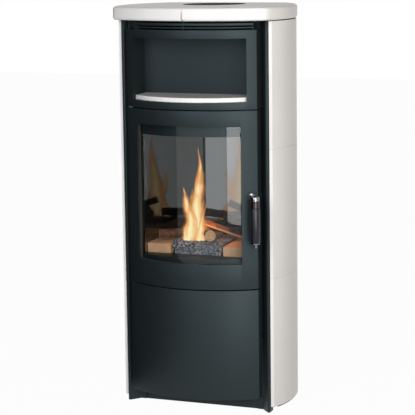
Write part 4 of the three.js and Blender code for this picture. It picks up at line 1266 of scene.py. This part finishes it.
def paint_material(paints):
    """Anthracite stove paint, sprayed: a nearly black satin whose fine grain gives a bluish sheen."""
    made, tree, at = material("Anthracite stove paint, sprayed")
    flake = add(tree, "TexVoronoi", Vector=at, Scale=per(0.7)).outputs["Color"]
    fleck = add(tree, "SeparateColor", Color=flake).outputs[0]
    tint = ramp(tree, fleck, shade(paints.paint, 0.8), shade(paints.paint, 1.25))
    coat(
        tree,
        Base_Color=tint,
        Roughness=between(tree, grain(tree, at, 5), 0.44, 0.52),
        Normal=bump(tree, grain(tree, at, 0.9), 0.00003),
        Specular_IOR_Level=0.36,
        Specular_Tint=rgba(paints.paint_sheen),
    )
    return made


def metal_material(name, tint, roughness, spread, size, stretch=(1, 1, 1)):
    """A plain metal whose roughness follows a fine grain, drawn out along its brushing."""
    made, tree, at = material(name)
    drawn = add(tree, "Mapping", Vector=at, Scale=stretch).outputs[0]
    lines = grain(tree, drawn, size)
    coat(
        tree,
        Base_Color=ramp(tree, lines, shade(tint, 0.9), shade(tint, 1.08)),
        Roughness=between(tree, lines, roughness - spread, roughness + spread),
        Normal=bump(tree, lines, 0.00001),
        Metallic=1,
    )
    return made


def grip_material(paints):
    """Black heat-proof thermoset, moulded: even and half glossy."""
    made, tree, at = material("Black thermoset, moulded")
    coat(
        tree,
        Base_Color=ramp(tree, grain(tree, at, 6), shade(paints.grip, 0.9), shade(paints.grip, 1.15)),
        Roughness=between(tree, grain(tree, at, 2), 0.28, 0.34),
        Normal=bump(tree, grain(tree, at, 0.5), 0.00001),
        Specular_IOR_Level=0.3,
    )
    return made


def iron_material(paints):
    """Cast iron, sand cast and blackened: a coarse matt skin."""
    made, tree, at = material("Cast iron, sand cast and blackened")
    coarse = grain(tree, at, 2.2, 4.0)
    coat(
        tree,
        Base_Color=ramp(tree, grain(tree, at, 14), shade(paints.iron, 0.8), shade(paints.iron, 1.2)),
        Roughness=between(tree, coarse, 0.7, 0.88),
        Normal=bump(tree, coarse, 0.00012),
        Specular_IOR_Level=0.1,
    )
    return made


def lining_material(paints):
    """Dark glass-ceramic lining, rolled: almost a mirror, with a trace of soot."""
    made, tree, at = material("Dark glass-ceramic lining")
    soot = grain(tree, at, 60, 3.0)
    coat(
        tree,
        Base_Color=ramp(tree, soot, shade(paints.lining, 0.8), shade(paints.lining, 1.4)),
        Roughness=between(tree, soot, 0.015, 0.05),
        IOR=3.0,
    )
    return made


def brick_material(paints):
    """Fire brick, pressed from fired clay: dry and granular, browned by heat."""
    made, tree, at = material("Fire brick, pressed and fired")
    specks = grain(tree, at, 3, 5.0)
    heat = grain(tree, at, 45, 3.0)
    coat(
        tree,
        Base_Color=ramp(tree, heat, shade(paints.brick, 0.72), shade(paints.brick, 1.1), 0.3, 0.7),
        Roughness=between(tree, specks, 0.85, 0.95),
        Normal=bump(tree, specks, 0.0004),
    )
    return made


def ash_material(paints):
    """Charcoal lumps under pale ash: black in the clefts, grey on top, glowing in places."""
    made, tree, at = material("Charcoal under ash")
    patches = grain(tree, at, 6, 4.0)
    coat(
        tree,
        Base_Color=ramp(tree, patches, shade(paints.ash, 0.12), shade(paints.ash, 1.15), 0.4, 0.6),
        Roughness=between(tree, patches, 0.8, 0.95),
        Normal=bump(tree, patches, 0.0008),
        Emission_Color=ramp(tree, grain(tree, at, 20), BLACK, rgba(paints.ember), 0.64, 0.8),
        Emission_Strength=0.3,
    )
    return made


def bark_material(paints):
    """Log bark, split and dried: furrowed and charred in patches."""
    made, tree, at = material("Log bark, charred")
    furrows = grain(tree, at, 7, 6.0)
    charred = ramp(tree, grain(tree, at, 55), BLACK, WHITE, 0.48, 0.62)
    tint = ramp(tree, furrows, shade(paints.bark, 0.35), shade(paints.bark, 1.6), 0.35, 0.65)
    burnt = add(tree, "MixRGB", Fac=charred, Color1=tint, Color2=rgba(paints.char))
    coat(
        tree,
        Base_Color=burnt.outputs[0],
        Roughness=between(tree, furrows, 0.8, 0.95),
        Normal=bump(tree, furrows, 0.0015),
    )
    return made


def wood_material(paints):
    """Cut ends of the logs, sawn: rings and fine cracks."""
    made, tree, at = material("Log end, sawn")
    rings = add(tree, "TexNoise", Vector=at, Scale=per(6), Detail=3.0, Distortion=0.6).outputs[0]
    coat(
        tree,
        Base_Color=ramp(tree, rings, shade(paints.wood, 0.6), rgba(paints.wood), 0.35, 0.6),
        Roughness=between(tree, rings, 0.75, 0.9),
        Normal=bump(tree, rings, 0.0004),
    )
    return made


def rope_material(paints):
    """Glass-fibre rope, knitted: small loops."""
    made, tree, at = material("Glass-fibre rope, knitted")
    loops = add(tree, "TexVoronoi", Vector=at, Scale=per(1.6)).outputs["Distance"]
    coat(
        tree,
        Base_Color=ramp(tree, loops, shade(paints.rope, 1.5), shade(paints.rope, 0.6)),
        Roughness=between(tree, loops, 0.85, 0.95),
        Normal=bump(tree, loops, 0.0006),
    )
    return made


def glass_material(paints):
    """Clear glass-ceramic pane: it mirrors by the angle and else lets light straight through.

    A ray meets the pane's near face from outside and mirrors there; leaving it, it goes straight on.
    """
    made, tree, at = material("Clear glass-ceramic, bowed")
    entering = math_node(tree, "SUBTRACT", 1.0, add(tree, "NewGeometry").outputs["Backfacing"])
    facing = math_node(tree, "MULTIPLY", add(tree, "Fresnel", IOR=1.4).outputs[0], entering)
    haze = between(tree, grain(tree, at, 120), 0.0, 0.015)
    clear = add(tree, "BsdfTransparent", Color=rgba(paints.pane))
    mirror = add(tree, "BsdfGlossy", Roughness=haze)
    output(tree, blend(tree, facing, clear, mirror))
    return made


def flame_material(paints, strength):
    """Wood flame: white-yellow at its heart, orange outwards, torn at its edges."""
    made, tree, at = material("Wood flame")
    parts = add(tree, "SeparateXYZ", Vector=add(tree, "UVMap").outputs[0])
    u, v = parts.outputs[0], parts.outputs[1]
    waver = 0.9  # how far the licks move the edge, of the half width
    fading = 0.55  # how much of the heat is gone at the tip
    drawn = add(tree, "Mapping", Vector=at, Scale=(1, 1, 0.35)).outputs[0]
    licks = grain(tree, drawn, 16, 3.0)
    aside = math_node(tree, "ABSOLUTE", math_node(tree, "SUBTRACT", u, 0.5))
    across = math_node(tree, "MULTIPLY", aside, 2.0)
    wobble = math_node(tree, "MULTIPLY_ADD", licks, waver, -waver / 2)
    body = math_node(tree, "SUBTRACT", 1.0, math_node(tree, "ADD", across, wobble))
    loss = math_node(tree, "MULTIPLY", math_node(tree, "POWER", v, 1.6), fading)
    heat = math_node(tree, "SUBTRACT", body, loss)
    smooth = {"interpolation_type": "SMOOTHSTEP"}
    cover = add(tree, "MapRange", smooth, Value=heat, From_Min=0.05, From_Max=0.6)
    hue = add(tree, "ValToRGB", Fac=heat)
    rim, heart = hue.color_ramp.elements
    rim.position, rim.color = 0.1, rgba(paints.flame_rim)
    heart.position, heart.color = 0.85, rgba(paints.flame_heart)
    hue.color_ramp.elements.new(0.45).color = rgba(paints.flame_body)
    glow = add(tree, "Emission", Color=hue.outputs[0], Strength=strength)
    clear = add(tree, "BsdfTransparent")
    output(tree, blend(tree, cover.outputs[0], clear, glow))
    return made


class STOVE_OT_materials(bpy.types.Operator):
    """Make the finishes"""

    bl_idname = "stove.materials"
    bl_label = "Finishes"

    def execute(self, context):
        paints = context.scene.stove_paints
        materials["glaze"] = glaze_material(paints)
        materials["paint"] = paint_material(paints)
        materials["chrome"] = metal_material("Chrome plate, polished", paints.chrome, 0.08, 0.02, 8)
        materials["brushed"] = metal_material(
            "Stainless steel, brushed", paints.brushed, 0.3, 0.08, 0.6, (1, 1, 12)
        )
        materials["bare"] = metal_material("Sheet steel, rolled", paints.bare, 0.38, 0.08, 3)
        materials["zinc"] = metal_material("Zinc plate", paints.zinc, 0.45, 0.1, 5)
        materials["grip"] = grip_material(paints)
        materials["iron"] = iron_material(paints)
        materials["lining"] = lining_material(paints)
        materials["brick"] = brick_material(paints)
        materials["ash"] = ash_material(paints)
        materials["bark"] = bark_material(paints)
        materials["wood"] = wood_material(paints)
        materials["rope"] = rope_material(paints)
        materials["glass"] = glass_material(paints)
        materials["flame"] = flame_material(paints, context.scene.stove_fire.glow)
        return {"FINISHED"}


# ---------------------------------------------------------------- Studio


class STOVE_OT_studio(bpy.types.Operator):
    """Set up the floor, the lamps and the camera"""

    bl_idname = "stove.studio"
    bl_label = "Studio"

    def execute(self, context):
        studio = context.scene.stove_studio
        context.scene.view_settings.view_transform = "Standard"
        self.world(context.scene, studio)
        self.floor(studio)
        key_place = (-0.35, -3.3, 1.85)
        side_place = (2.05, -2.85, 1.1)
        self.lamp("Key", studio.key_power, studio.key_tint, key_place, (1.3, 1.7))
        self.lamp("Side", studio.side_power, studio.side_tint, side_place, (1.6, 2.4))
        self.flag(studio)
        self.camera(context.scene, studio)
        return {"FINISHED"}

    def flag(self, studio):
        """A black cloth beside the left of the stove, which only the gloss of its surfaces shows."""
        made, tree, _ = material("Studio flag, black cloth")
        output(tree, add(tree, "BsdfDiffuse", Color=rgba(studio.flag_black)))
        bm = bmesh.new()
        x, near, far, height = studio.flag
        hem = 0.002  # its height over the floor, where it runs on towards the stove
        reach = -0.33  # the X at which it ends there
        lines = ((x, height), (x, hem), (reach, hem))
        front = [bm.verts.new((along, near, up)) for along, up in lines]
        back = [bm.verts.new((along, far, up)) for along, up in lines]
        for i in range(len(lines) - 1):
            bm.faces.new((front[i], front[i + 1], back[i + 1], back[i]))
        piece = finish_mesh(bm, "studio_flag", made)
        piece.visible_camera = False
        piece.visible_diffuse = False
        piece.visible_transmission = False
        piece.visible_shadow = False

    def background_rays(self, tree):
        """1 for the rays that see the white background: the camera's, and those in metal and glass."""
        rays = add(tree, "LightPath").outputs
        straight = math_node(tree, "MAXIMUM", rays["Is Camera Ray"], rays["Is Transmission Ray"])
        return math_node(tree, "MAXIMUM", straight, rays["Is Glossy Ray"])

    def world(self, scene, studio):
        """The white background, and a soft warm fill that lights the object."""
        world = bpy.data.worlds.new("Studio")
        world.use_nodes = True
        tree = world.node_tree
        tree.nodes.clear()
        fill = add(tree, "Background", Color=rgba(studio.fill_tint), Strength=studio.fill)
        white = add(tree, "Background", Color=WHITE, Strength=1.0)
        mix = blend(tree, self.background_rays(tree), fill, white)
        add(tree, "OutputWorld", Surface=mix.outputs[0])
        scene.world = world

    def floor(self, studio):
        """A wide pale floor that goes over into the white background."""
        made, tree, _ = material("Studio floor, matt white")
        pale = add(tree, "BsdfDiffuse", Color=rgba(studio.floor))
        white = add(tree, "Emission", Color=WHITE, Strength=1.0)
        share = math_node(tree, "MULTIPLY", self.background_rays(tree), studio.floor_white)
        output(tree, blend(tree, share, pale, white))
        bm = bmesh.new()
        bmesh.ops.create_grid(bm, x_segments=1, y_segments=1, size=12)
        piece = finish_mesh(bm, "studio_floor", made)

    def lamp(self, name, power, tint, at, size):
        """A soft box that shines at the middle of the stove."""
        aim = Vector((0, 0, 0.62))
        data = bpy.data.lights.new(name, "AREA")
        data.energy = power
        data.color = tint
        data.shape = "RECTANGLE"
        data.size, data.size_y = size
        made = bpy.data.objects.new(name, data)
        made.location = at
        made.rotation_mode = "QUATERNION"
        made.rotation_quaternion = (aim - Vector(at)).to_track_quat("-Z", "Y")
        bpy.context.scene.collection.objects.link(made)

    def camera(self, scene, studio):
        """The camera of the picture."""
        a, e, roll = studio.azimuth, studio.elevation, studio.roll
        back = Vector((math.sin(a) * math.cos(e), -math.cos(a) * math.cos(e), math.sin(e)))
        right = Vector((math.cos(a), math.sin(a), 0))
        up = back.cross(right)
        across = right * math.cos(roll) - up * math.sin(roll)
        above = right * math.sin(roll) + up * math.cos(roll)
        data = bpy.data.cameras.new("Camera")
        data.lens = studio.lens
        data.sensor_width = 36
        data.shift_y = studio.shift
        data.clip_end = 100
        made = bpy.data.objects.new("Camera", data)
        turn = Matrix((across, above, back)).transposed().to_4x4()
        made.matrix_world = Matrix.Translation(studio.camera) @ turn
        scene.collection.objects.link(made)
        scene.camera = made


GROUPS = {
    "stove_front": StoveFront,
    "stove_ceramic": StoveCeramic,
    "stove_fire": StoveFire,
    "stove_paints": StovePaints,
    "stove_studio": StoveStudio,
}
OPERATORS = (
    STOVE_OT_materials,
    STOVE_OT_side_tiles,
    STOVE_OT_top_tiles,
    STOVE_OT_shelf,
    STOVE_OT_front,
    STOVE_OT_grille,
    STOVE_OT_glass,
    STOVE_OT_handle,
    STOVE_OT_carcass,
    STOVE_OT_flue,
    STOVE_OT_chamber,
    STOVE_OT_embers,
    STOVE_OT_logs,
    STOVE_OT_flames,
    STOVE_OT_studio,
)


class STOVE_PT_sidebar(bpy.types.Panel):
    """Lists the steps and their settings"""

    bl_idname = "STOVE_PT_sidebar"
    bl_label = "Tiled stove"
    bl_space_type = "VIEW_3D"
    bl_region_type = "UI"
    bl_category = "Stove"

    def draw(self, context):
        layout = self.layout
        for operator in OPERATORS:
            layout.operator(operator.bl_idname)
        for name, group in GROUPS.items():
            column = layout.column()
            for key in group.__annotations__:
                column.prop(getattr(context.scene, name), key)


def register():
    for name, group in GROUPS.items():
        bpy.utils.register_class(group)
        setattr(bpy.types.Scene, name, bpy.props.PointerProperty(type=group))
    for operator in OPERATORS:
        bpy.utils.register_class(operator)
    bpy.utils.register_class(STOVE_PT_sidebar)


def unregister():
    bpy.utils.unregister_class(STOVE_PT_sidebar)
    for operator in reversed(OPERATORS):
        bpy.utils.unregister_class(operator)
    for name, group in GROUPS.items():
        delattr(bpy.types.Scene, name)
        bpy.utils.unregister_class(group)


def main():
    """Builds everything."""
    register()
    bpy.ops.stove.materials()
    bpy.ops.stove.side_tiles()
    bpy.ops.stove.top_tiles()
    bpy.ops.stove.shelf()
    bpy.ops.stove.front()
    bpy.ops.stove.grille()
    bpy.ops.stove.glass()
    bpy.ops.stove.handle()
    bpy.ops.stove.carcass()
    bpy.ops.stove.flue()
    bpy.ops.stove.chamber()
    bpy.ops.stove.embers()
    bpy.ops.stove.logs()
    bpy.ops.stove.flames()
    bpy.ops.stove.studio()


if __name__ == "__main__":
    main()
